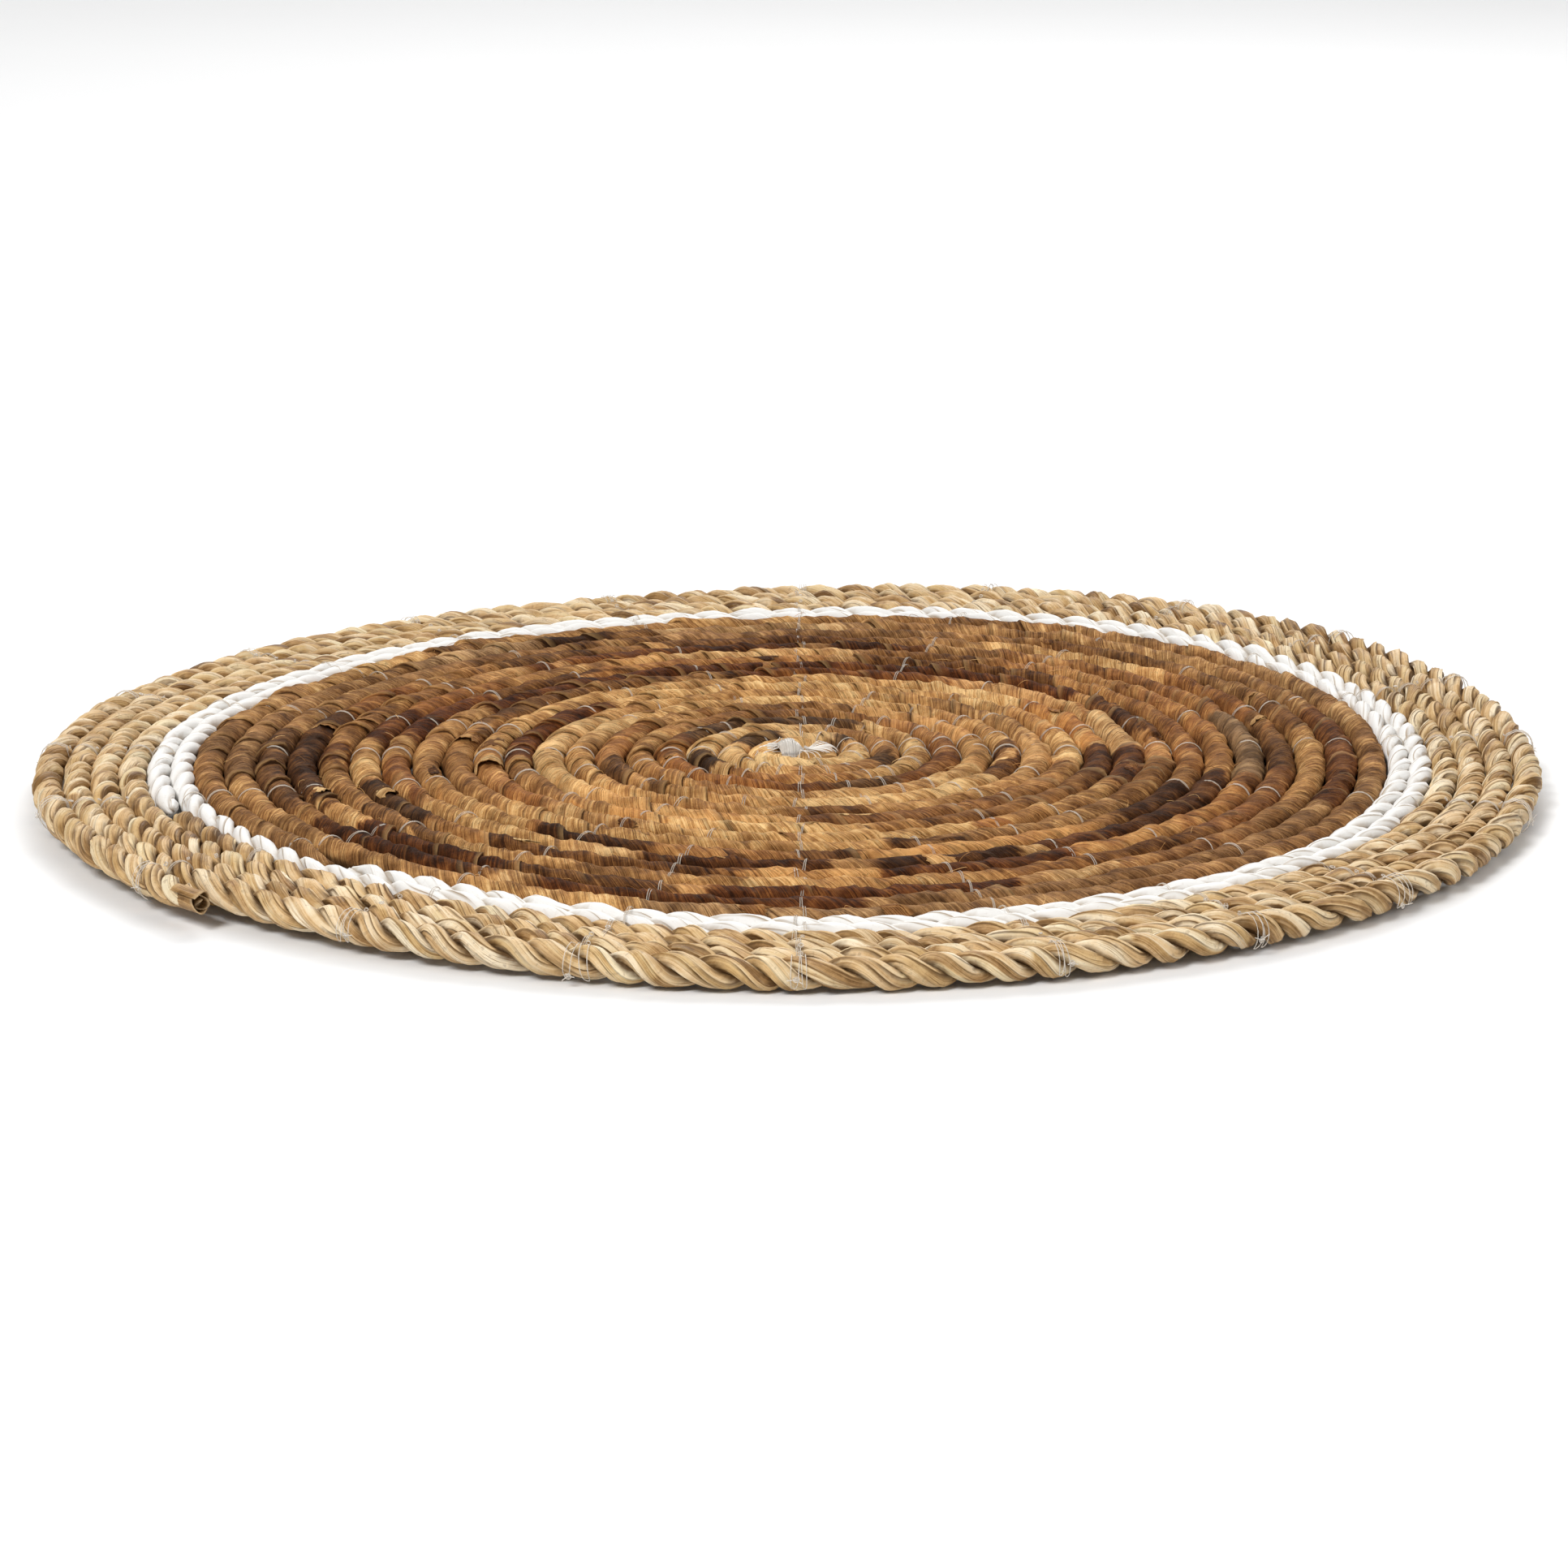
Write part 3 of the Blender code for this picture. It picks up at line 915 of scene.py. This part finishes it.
def rim_tracks():
    """At the rim end of each line: a long loop over the outer rope, knots in it, and two tails."""
    draw = np.random.default_rng(5)
    tracks = []
    share = np.linspace(0, 1, RIM_POINTS)
    for azimuth in SEWING_AZIMUTHS:
        first = turn_share(azimuth)
        turn = first + math.floor(ROPE_TURNS[1] - first)
        for _ in range(2):
            lowest = draw.uniform(-0.36, -0.18)
            down = np.sin(share * math.pi) ** 0.6
            angle = math.pi * (ARC_START + (lowest - ARC_START) * down)
            reach = 1 + 0.08 * draw.random()
            lean = draw.uniform(-STITCH_LEAN, STITCH_LEAN)
            width = draw.uniform(0.0005, 0.0011)
            along = lean * down + width * np.tanh((share - 0.5) * 7) + draw.uniform(-0.0007, 0.0007)
            outward = np.cos(angle) * LOOP_HALF[0] * reach
            height = ROPE_HEIGHT + np.sin(angle) * LOOP_HALF[1] * reach
            tracks.append(place(past(turn, along), outward, height))
        knot_height = draw.uniform(*KNOT_HEIGHTS)
        tracks += tangle(draw, past(turn, lean), KNOT_OUTWARD, knot_height, 4, 0.0007)
        for inner in (1, 2, 3):
            groove_turn = turn - inner + draw.uniform(-0.001, 0.001)
            tracks += tangle(draw, groove_turn, *GROOVE_KNOT, 2, 0.0006)
        for side in (-1, 1):
            end = draw.uniform(0.0012, 0.0030)
            along = side * end * share + lean
            outward = KNOT_OUTWARD + draw.uniform(0.0, 0.0009) * share
            height = knot_height + draw.uniform(-0.0012, 0.0018) * share
            tracks.append(place(past(turn, along), outward, height))
    return np.array(tracks)


# The bundle of filament in the middle: how many, its middle, its half sizes, and where it is pinched.
BUNDLE_FILAMENTS = 110
BUNDLE_MIDDLE = (-0.0029, -0.0008, 0.0060)
BUNDLE_HALF = (0.0033, 0.0049, 0.0043)
PINCH = (0.0007, -0.0016, 0.0084)
# The fans of filament over the innermost coil: how many, their first and last azimuth, how far they
# swing on the way, where they start, and how far apart they start.
FANS = (
    (22, -34, 58, 0.15, PINCH, 0.0003),
    (10, 186, 198, 0.85, (-0.0050, 0.0012, 0.0094), 0.0008),
    (8, 170, 180, 0.65, (-0.0052, 0.0004, 0.0092), 0.0008),
    (5, 204, 212, 0.35, (-0.0056, -0.0012, 0.0082), 0.0008),
    (4, 268, 310, 0.0, (0.0002, -0.0030, 0.0078), 0.0010),
)
# Radius of the innermost coil's middle, of a filament's bend over it, and of the groove behind it.
INNERMOST_RADIUS = 0.0072
FAN_BEND = 0.0040
FAN_REACH = 0.0037
CENTRE_POINTS = 18


def fan_track(start, azimuth, swing, reached, share):
    """A single filament from the bundle over the innermost coil and down into the groove behind it."""
    coil = float(path_radius(turn_near(math.degrees(azimuth) % 360, INNERMOST_RADIUS)))
    first = math.hypot(start[0], start[1])
    reach = first + (coil + FAN_REACH - first) * share * reached
    over = np.sqrt(np.clip(FAN_BEND**2 - (reach - coil) ** 2, 0.0, None))
    rise = ease((reach - first) / max(coil - first, 0.002))
    height = start[2] * (1 - rise) + (BARK_HEIGHT + over) * rise
    turning = ease(share * 1.5)
    way = azimuth - swing * (1 - share) ** 1.2
    x = start[0] * (1 - turning) + reach * np.cos(way) * turning
    y = start[1] * (1 - turning) + reach * np.sin(way) * turning
    return stacked(x, y, height)


def centre_tracks():
    """The sheaf of filaments over the middle, pinched at its right, and the fans that leave it."""
    draw = np.random.default_rng(17)
    share = np.linspace(0, 1, CENTRE_POINTS)
    tracks = []
    for number in range(BUNDLE_FILAMENTS):
        across = -1 + 2 * (number + draw.uniform(-0.4, 0.4)) / (BUNDLE_FILAMENTS - 1)
        layer = draw.uniform(0.88, 1.0)
        angle = math.pi * (1.16 - 1.32 * share)
        narrow = math.sqrt(max(1 - 0.72 * across**2, 0.1)) * layer
        pinched = 0.55 * max(across, 0.0) ** 1.5
        x = BUNDLE_MIDDLE[0] + across * BUNDLE_HALF[0] - 0.0006 * np.cos(angle) * (1 - across)
        y = BUNDLE_MIDDLE[1] + np.cos(angle) * BUNDLE_HALF[1] * narrow * (1 - pinched)
        z = BUNDLE_MIDDLE[2] + np.sin(angle) * BUNDLE_HALF[2] * narrow * (1 - pinched * 0.6)
        tracks.append(stacked(x + draw.uniform(-0.0002, 0.0002) * share, y, z))
    for count, low, high, swing, start, jitter in FANS:
        for number in range(count):
            azimuth = math.radians(low + (high - low) * number / (count - 1)) + draw.uniform(-0.08, 0.08)
            first = np.asarray(start) + draw.uniform(-jitter, jitter, 3)
            tracks.append(fan_track(first, azimuth, swing, draw.uniform(0.72, 1.0), share))
    return np.array(tracks)


# The ragged straw in the middle: inner radius, outer radius, how much wider it is at the front left,
# the azimuth of that, and the height of its middle and how far its edge droops.
STRAW_INNER = 0.0004
STRAW_OUTER = 0.0062
STRAW_WIDER = 0.0022
STRAW_WIDE_AZIMUTH = math.radians(215)
STRAW_HEIGHT = 0.0072
STRAW_DROOP = 0.0034
STRAW_THICKNESS = 0.0002


def centre_straw_mesh():
    """The ragged straw ends round the middle, which lie over the innermost coil."""
    around = np.linspace(0, 1, 120)[:, None]
    outward = np.linspace(0, 1, 9)[None, :]
    azimuth = math.tau * around
    front = ease((math.cos(0.6) - np.cos(azimuth - STRAW_WIDE_AZIMUTH)) * -1.4 + 1.0)
    ragged = ripple(around, 33, waves=5, longest=0.06, shortest=0.012) * 0.0009
    edge = STRAW_OUTER + STRAW_WIDER * front + ragged
    edge[-1] = edge[0]
    radius = STRAW_INNER + (edge - STRAW_INNER) * outward
    pleat = ripple(around, 35, waves=4, longest=0.05, shortest=0.014) * 0.00022
    pleat[-1] = pleat[0]
    height = STRAW_HEIGHT - STRAW_DROOP * outward**3 + pleat * outward**0.5
    points = stacked(radius * np.cos(azimuth), radius * np.sin(azimuth), height)
    points[-1] = points[0]
    tone = 0.86 + 0.10 * ripple(around, 37, waves=4, longest=0.08, shortest=0.02)
    strip = stacked(tone, 0.0, 0 * outward)
    fibre = stacked(radius, around * 0.03)
    # Painted shade in the pleats' hollows, more towards the edge.
    painted_shading = 0.5 * np.clip(-pleat / 0.0003, 0, 1) * outward
    return bent_grid("centre_straw", points, strip, fibre, painted_shading, thickness=STRAW_THICKNESS)


LOOSE_FIBRE_RADIUS = 0.00007
LOOSE_FIBRE_START = 0.0038
LOOSE_FIBRE_REACHES = (0.001, 0.007)


def loose_fibre_tracks(count):
    """Thin fibres that have come away from the bark."""
    draw = np.random.default_rng(88)
    share = np.linspace(0, 1, 7)
    tracks = []
    for _ in range(count):
        turn = float(BARK_ROUTE.turn_at(BARK_ROUTE.length * draw.random()))
        angle = draw.uniform(0.2, 2.6)
        reach, rise = draw.uniform(*LOOSE_FIBRE_REACHES), draw.uniform(0.0002, 0.0015)
        spin = draw.uniform(0.4, 1.7) * draw.choice((-1, 1))
        bow = draw.uniform(-0.0012, 0.0012) * np.sin(share * math.pi)
        distance = LOOSE_FIBRE_START + rise * np.sin(share * math.pi * draw.uniform(0.5, 1.0))
        angles = angle + spin * share * 0.7
        along = reach * share * draw.choice((-1, 1)) + bow
        height = BARK_HEIGHT + distance * np.sin(angles)
        tracks.append(place(past(turn, along), distance * np.cos(angles), height))
    return np.array(tracks)


# A collar's distance from the rope's middle, how far it slants along the rope, and its thickness.
COLLAR_RADIUS = 0.00385
COLLAR_SLANT = 0.0026
COLLAR_THICKNESS = 0.00018
# Collars that stand out: turn, middle angle, span, length, flare, tone and redness.
PLACED_COLLARS = (
    (-9.087, 1.7, 3.0, 0.0085, 0.0014, 0.86, 0.0),
    (-3.029, 1.6, 2.8, 0.0050, 0.0004, 0.80, 0.0),
    (-3.057, 1.9, 1.4, 0.0060, 0.0009, 0.96, 0.0),
    (-5.049, 1.7, 1.8, 0.0070, 0.0007, 0.80, 0.0),
    (-8.131, 1.6, 2.0, 0.0070, 0.0010, 0.62, 0.1),
    (-3.142, 1.8, 1.6, 0.0070, 0.0012, 0.60, 0.1),
    (-4.972, 1.9, 0.7, 0.0100, 0.0003, 0.92, 0.0),
    (-10.829, 1.9, 0.7, 0.0110, 0.0003, 0.94, 0.0),
    (-9.874, 1.9, 0.8, 0.0120, 0.0003, 0.94, 0.0),
    (-17.96, 0.7, 2.2, 0.0050, 0.0008, 1.20, 0.0),
    (-17.90, 0.8, 2.0, 0.0045, 0.0012, 1.10, 0.0),
    (-17.85, 0.7, 2.2, 0.0050, 0.0009, 1.20, 0.0),
)


def collar(name, turn, middle, span, length, flare, tone, redness, seed):
    """A short band of bark over the top of the rope, whose ragged free edge stands off it."""
    draw = np.random.default_rng(seed)
    share = np.linspace(0, 1, 8)[:, None]
    across = np.linspace(-1, 1, 15)[None, :]
    ragged = 1 + 0.26 * ripple(across, seed, waves=4, longest=1.5, shortest=0.3)
    side = draw.choice((-1, 1))
    lifted = np.exp(-((across - draw.uniform(-0.4, 0.4)) ** 2) / 0.35) * (1 - across**4)
    angle = middle + across * span / 2
    distance = COLLAR_RADIUS + 0.0001 * share + flare * lifted * share**2.2
    narrow = np.sqrt(np.clip(1 - 0.85 * across**2, 0.05, 1))
    along = side * length * (share - 0.35) * ragged * narrow - angle * COLLAR_SLANT
    points = place(past(turn, along), distance * np.cos(angle), BARK_HEIGHT + distance * np.sin(angle))
    strip = np.broadcast_to((tone, redness, 0.1), points.shape)
    fibre = stacked(angle * 0.0039, along + angle * COLLAR_SLANT + draw.random())
    # A painted highlight along the free edge.
    painted_shading = np.where(share == 1.0, -0.4, 0.0) + 0 * across
    return bent_grid(name, points, strip, fibre, painted_shading, thickness=COLLAR_THICKNESS)


def collar_meshes(count):
    """The placed collars, and a number of others along the whole rope."""
    draw = np.random.default_rng(61)
    meshes = []
    for number, (turn, *form) in enumerate(PLACED_COLLARS):
        meshes.append(collar(f"collar_placed_{number}", turn, *form, 900 + number))
    for number in range(count):
        turn = float(BARK_ROUTE.turn_at(BARK_ROUTE.length * (0.03 + 0.95 * draw.random())))
        tone = float(np.clip(draw.normal(0.56, 0.18), 0.15, 0.9))
        form = (
            draw.uniform(0.9, 2.1), draw.uniform(0.8, 2.2), draw.uniform(0.0025, 0.0065),
            draw.gamma(2.0, 0.00018), tone, draw.random() * 0.6,
        )
        meshes.append(collar(f"collar_{number}", turn, *form, 300 + number))
    return meshes


# The leaf rolled up at the rope's cut end: times round, outer radius, how much less inside, and length.
ROLL_TURNS = 2.3
ROLL_RADIUS = 0.0033
ROLL_NARROWING = 0.0024
ROLL_LENGTH = 0.0085
ROLL_THICKNESS = 0.00025


def rolled_end_mesh():
    """The leaf rolled up at the natural rope's cut end, open at its face."""
    share = np.linspace(0, 1, 46)[:, None]
    depth = np.linspace(0, 1, 9)[None, :]
    angle = math.tau * ROLL_TURNS * share + 0.6
    radius = ROLL_RADIUS - ROLL_NARROWING * share
    radius = radius + 0.00030 * np.sin(angle * 1.7 + depth * 3) * (1 - 0.6 * share)
    radius = radius * (0.86 + 0.14 * ease(depth / 0.3))
    along = ROLL_LENGTH * (depth - 0.86) * (1 - 0.10 * share) + 0.0010 * np.sin(angle * 1.5) * depth
    outward = radius * np.cos(angle) + 0.0004
    height = ROPE_HEIGHT - 0.0002 + radius * np.sin(angle)
    points = place(past(ROPE_SHOWN_END, along), outward, height)
    strip = stacked(0.34 - 0.22 * share, 0.5, 0 * depth)
    fibre = stacked(depth * 0.009, share * 0.03)
    # Painted shade on the inner windings, away from the open face, and a painted highlight round the open
    # face.
    shade = 0.5 * ease((0.5 - depth) / 0.5) * (share > 0.4)
    painted_shading = np.where(depth == 1.0, -0.3, shade)
    return bent_grid("rolled_end", points, strip, fibre, painted_shading, thickness=ROLL_THICKNESS)


class MatSizes(bpy.types.PropertyGroup):
    """Sizes of the ropes' surface that a user may change."""

    wrap_pitch: FloatProperty(
        name="Wrap pitch", description="How far the bark strip moves along the rope in one turn",
        default=0.0160, unit="LENGTH",
    )
    bark_radius: FloatProperty(
        name="Bark rope radius", description="Radius of the rope under the strips' edges",
        default=0.00362, unit="LENGTH",
    )
    wrap_steps: IntProperty(
        name="Steps in a wrap", description="Mesh steps in one turn of the bark strip",
        default=24, min=8, max=30,
    )
    filament_gap: FloatProperty(
        name="Filament gap", description="Distance between the filaments of a stitch",
        default=0.00042, unit="LENGTH",
    )
    filament_radius: FloatProperty(
        name="Filament radius", description="Radius of the nylon filament",
        default=0.00012, unit="LENGTH",
    )
    loose_fibres: IntProperty(
        name="Loose fibres", description="Number of fibres that stand off the bark",
        default=260, min=0, max=1000,
    )
    collars: IntProperty(
        name="Bark collars", description="Number of lifted ends and edges of bark",
        default=32, min=0, max=200,
    )


class MatLooks(bpy.types.PropertyGroup):
    """Colours of the mat's materials that a user may change."""

    bark_middle: FloatVectorProperty(
        name="Bark", description="Main colour of the bark strips", subtype="COLOR",
        default=(0.405, 0.192, 0.064), min=0, max=1,
    )
    bark_light: FloatVectorProperty(
        name="Light bark", description="Colour of the pale golden strips", subtype="COLOR",
        default=(0.690, 0.375, 0.132), min=0, max=1,
    )
    leaf_middle: FloatVectorProperty(
        name="Leaf", description="Main colour of the natural rope", subtype="COLOR",
        default=(0.640, 0.425, 0.210), min=0, max=1,
    )
    leaf_light: FloatVectorProperty(
        name="Light leaf", description="Colour of the palest leaves", subtype="COLOR",
        default=(0.750, 0.575, 0.360), min=0, max=1,
    )
    cord_white: FloatVectorProperty(
        name="White paint", description="Colour of the painted cord", subtype="COLOR",
        default=(0.765, 0.750, 0.722), min=0, max=1,
    )
    nylon: FloatVectorProperty(
        name="Nylon", description="Colour of the sewing filament", subtype="COLOR",
        default=(0.920, 0.880, 0.820), min=0, max=1,
    )


def show_strands(name, route, middle, sizes, seed, material, node_name):
    """Shows the two strands of a rope in place of its solid, whose name its slot has too."""
    for number in range(2):
        piece_name = f"{name}_{number + 1}"
        mesh = strand_mesh(piece_name, route, middle, sizes, math.pi * number, seed + 100 * number)
        show(mesh, material, [node_name])


class PLACEMAT_OT_bark_coil(bpy.types.Operator):
    """Wraps the centre coil in strips of banana bark"""

    bl_idname = "placemat.bark_coil"
    bl_label = "Bark coil"

    def execute(self, context):
        sizes = context.scene.placemat_sizes
        material = bark_material(context.scene.placemat_looks)
        wrap = BarkWrap(sizes)
        for name, first, last in BARK_PARTS:
            mesh = bark_piece(wrap, name, first, last, sizes.wrap_steps)
            show(mesh, material, ["bark_coil"])
        show(joined("bark_collars", collar_meshes(sizes.collars)), material)
        show(centre_straw_mesh(), material)
        return {"FINISHED"}


class PLACEMAT_OT_white_cord(bpy.types.Operator):
    """Twists the two strands of the white cord"""

    bl_idname = "placemat.white_cord"
    bl_label = "White cord"

    def execute(self, context):
        material = paint_material(context.scene.placemat_looks)
        show_strands("white_strand", CORD_ROUTE, CORD_HEIGHT, CORD_STRAND, 200, material, "white_cord")
        return {"FINISHED"}


class PLACEMAT_OT_natural_rope(bpy.types.Operator):
    """Twists the two strands of the natural rope and rolls up its cut end"""

    bl_idname = "placemat.natural_rope"
    bl_label = "Natural rope"

    def execute(self, context):
        material = leaf_material(context.scene.placemat_looks)
        show_strands("natural_strand", ROPE_ROUTE, ROPE_HEIGHT, LEAF_STRAND, 400, material, "natural_rope")
        show(rolled_end_mesh(), material)
        return {"FINISHED"}


class PLACEMAT_OT_sewing(bpy.types.Operator):
    """Sews the ropes together with clear filament, and ties the middle"""

    bl_idname = "placemat.sewing"
    bl_label = "Sewing"

    def execute(self, context):
        sizes = context.scene.placemat_sizes
        material = nylon_material(context.scene.placemat_looks)
        for name, tracks, whiteness, replaced in (
            ("sewing_stitches", sewing_tracks(sizes), 0.35, ()),
            ("rim_loops", rim_tracks(), 0.6, ()),
            ("centre_filaments", centre_tracks(), 0.9, ("centre_binding",)),
        ):
            strip = np.full((len(tracks), 3), whiteness)
            show(tubes(name, tracks, sizes.filament_radius, strip), material, replaced)
        return {"FINISHED"}


class PLACEMAT_OT_loose_fibres(bpy.types.Operator):
    """Adds the thin fibres that stand off the bark"""

    bl_idname = "placemat.loose_fibres"
    bl_label = "Loose fibres"

    def execute(self, context):
        tracks = loose_fibre_tracks(context.scene.placemat_sizes.loose_fibres)
        draw = np.random.default_rng(12)
        count = len(tracks)
        strip = stacked(draw.uniform(0.45, 0.95, count), draw.random(count) * 0.4, 0.0)
        mesh = tubes("loose_fibres", tracks, LOOSE_FIBRE_RADIUS, strip, sides=3)
        show(mesh, bpy.data.materials["banana_bark"])
        return {"FINISHED"}


class PLACEMAT_OT_stage(bpy.types.Operator):
    """Sets the pale floor, the soft lights and the camera"""

    bl_idname = "placemat.stage"
    bl_label = "Stage"

    def execute(self, context):
        add_floor(context)
        add_lights(context)
        add_camera(context)
        return {"FINISHED"}


FLOOR_HALF_SIDE = 12.0
# Lights: name, place, side length and power.
LIGHTS = (
    ("key_softbox", (-1.0, -1.5, 1.7), 0.8, 43.0),
    ("fill_softbox", (1.5, -1.0, 1.4), 1.2, 13.0),
    ("back_softbox", (0.4, 1.6, 1.5), 1.2, 14.0),
    ("far_softbox", (0.0, 6.0, 5.0), 6.0, 300.0),
)
WORLD_STRENGTH = 0.32
# The photo's camera: distance from the mat, angle over the table, roll, and the mat's place in the frame.
CAMERA_DISTANCE = 1.1228
CAMERA_ELEVATION = math.radians(14.86)
CAMERA_ROLL = math.radians(0.6)
CAMERA_CLIP_START = 0.05
FRAME_PIXELS = 1932
FOCAL_PIXELS = 5381
MAT_MIDDLE_PIXEL = (987.6, 956.9)
SENSOR_WIDTH = 36.0


def looking_back(direction):
    """The rotation of a light or camera that stands in a direction from the mat and looks back at it."""
    return Vector(direction).to_track_quat("Z", "Y").to_matrix().to_4x4()


def add_floor(context):
    shape = bmesh.new()
    bmesh.ops.create_grid(shape, x_segments=1, y_segments=1, size=FLOOR_HALF_SIDE)
    mesh = bpy.data.meshes.new("floor")
    shape.to_mesh(mesh)
    shape.free()
    material, tree, shader = new_material("pale_floor", 0.9, 0.1)
    cloud = noise(tree, object_place(tree), 3.0)
    colour = mixed(tree, cloud, (0.84, 0.84, 0.84, 1.0), (0.86, 0.86, 0.86, 1.0))
    tree.links.new(colour, shader.inputs["Base Color"])
    mesh.materials.append(material)
    floor = bpy.data.objects.new("floor", mesh)
    context.scene.collection.objects.link(floor)


def add_lights(context):
    context.scene.view_settings.view_transform = "Standard"
    for name, spot, side, power in LIGHTS:
        light = bpy.data.lights.new(name, "AREA")
        light.size = side
        light.energy = power
        lamp = bpy.data.objects.new(name, light)
        lamp.matrix_world = Matrix.Translation(spot) @ looking_back(spot)
        context.scene.collection.objects.link(lamp)
    world = bpy.data.worlds.new("studio")
    world.use_nodes = True
    background = world.node_tree.nodes["Background"]
    background.inputs["Color"].default_value = (1.0, 1.0, 1.0, 1.0)
    background.inputs["Strength"].default_value = WORLD_STRENGTH
    context.scene.world = world


def add_camera(context):
    lens = bpy.data.cameras.new("camera")
    lens.sensor_width = SENSOR_WIDTH
    lens.lens = SENSOR_WIDTH * FOCAL_PIXELS / FRAME_PIXELS
    lens.shift_x = (FRAME_PIXELS / 2 - MAT_MIDDLE_PIXEL[0]) / FRAME_PIXELS
    lens.shift_y = (MAT_MIDDLE_PIXEL[1] - FRAME_PIXELS / 2) / FRAME_PIXELS
    lens.clip_start = CAMERA_CLIP_START
    camera = bpy.data.objects.new("camera", lens)
    towards = Vector((0.0, -math.cos(CAMERA_ELEVATION), math.sin(CAMERA_ELEVATION)))
    turned = looking_back(towards) @ Matrix.Rotation(CAMERA_ROLL, 4, "Z")
    camera.matrix_world = Matrix.Translation(towards * CAMERA_DISTANCE) @ turned
    context.scene.collection.objects.link(camera)
    context.scene.camera = camera


class PLACEMAT_PT_sidebar(bpy.types.Panel):
    """Lists the steps that make the mat"""

    bl_idname = "PLACEMAT_PT_sidebar"
    bl_label = "Placemat"
    bl_space_type = "VIEW_3D"
    bl_region_type = "UI"
    bl_category = "Placemat"

    def draw(self, context):
        for step in STEPS:
            self.layout.operator(step.bl_idname)
        for group in (context.scene.placemat_sizes, context.scene.placemat_looks):
            for name in group.bl_rna.properties.keys():
                if name not in ("rna_type", "name"):
                    self.layout.prop(group, name)


STEPS = (
    PLACEMAT_OT_stage,
    PLACEMAT_OT_bark_coil,
    PLACEMAT_OT_white_cord,
    PLACEMAT_OT_natural_rope,
    PLACEMAT_OT_sewing,
    PLACEMAT_OT_loose_fibres,
)
CLASSES = (MatSizes, MatLooks, *STEPS, PLACEMAT_PT_sidebar)


def register():
    for kind in CLASSES:
        bpy.utils.register_class(kind)
    bpy.types.Scene.placemat_sizes = PointerProperty(type=MatSizes)
    bpy.types.Scene.placemat_looks = PointerProperty(type=MatLooks)


def unregister():
    del bpy.types.Scene.placemat_looks
    del bpy.types.Scene.placemat_sizes
    for kind in reversed(CLASSES):
        bpy.utils.unregister_class(kind)


def main():
    register()
    bpy.ops.placemat.stage()
    bpy.ops.placemat.bark_coil()
    bpy.ops.placemat.white_cord()
    bpy.ops.placemat.natural_rope()
    bpy.ops.placemat.sewing()
    bpy.ops.placemat.loose_fibres()


if __name__ == "__main__":
    main()
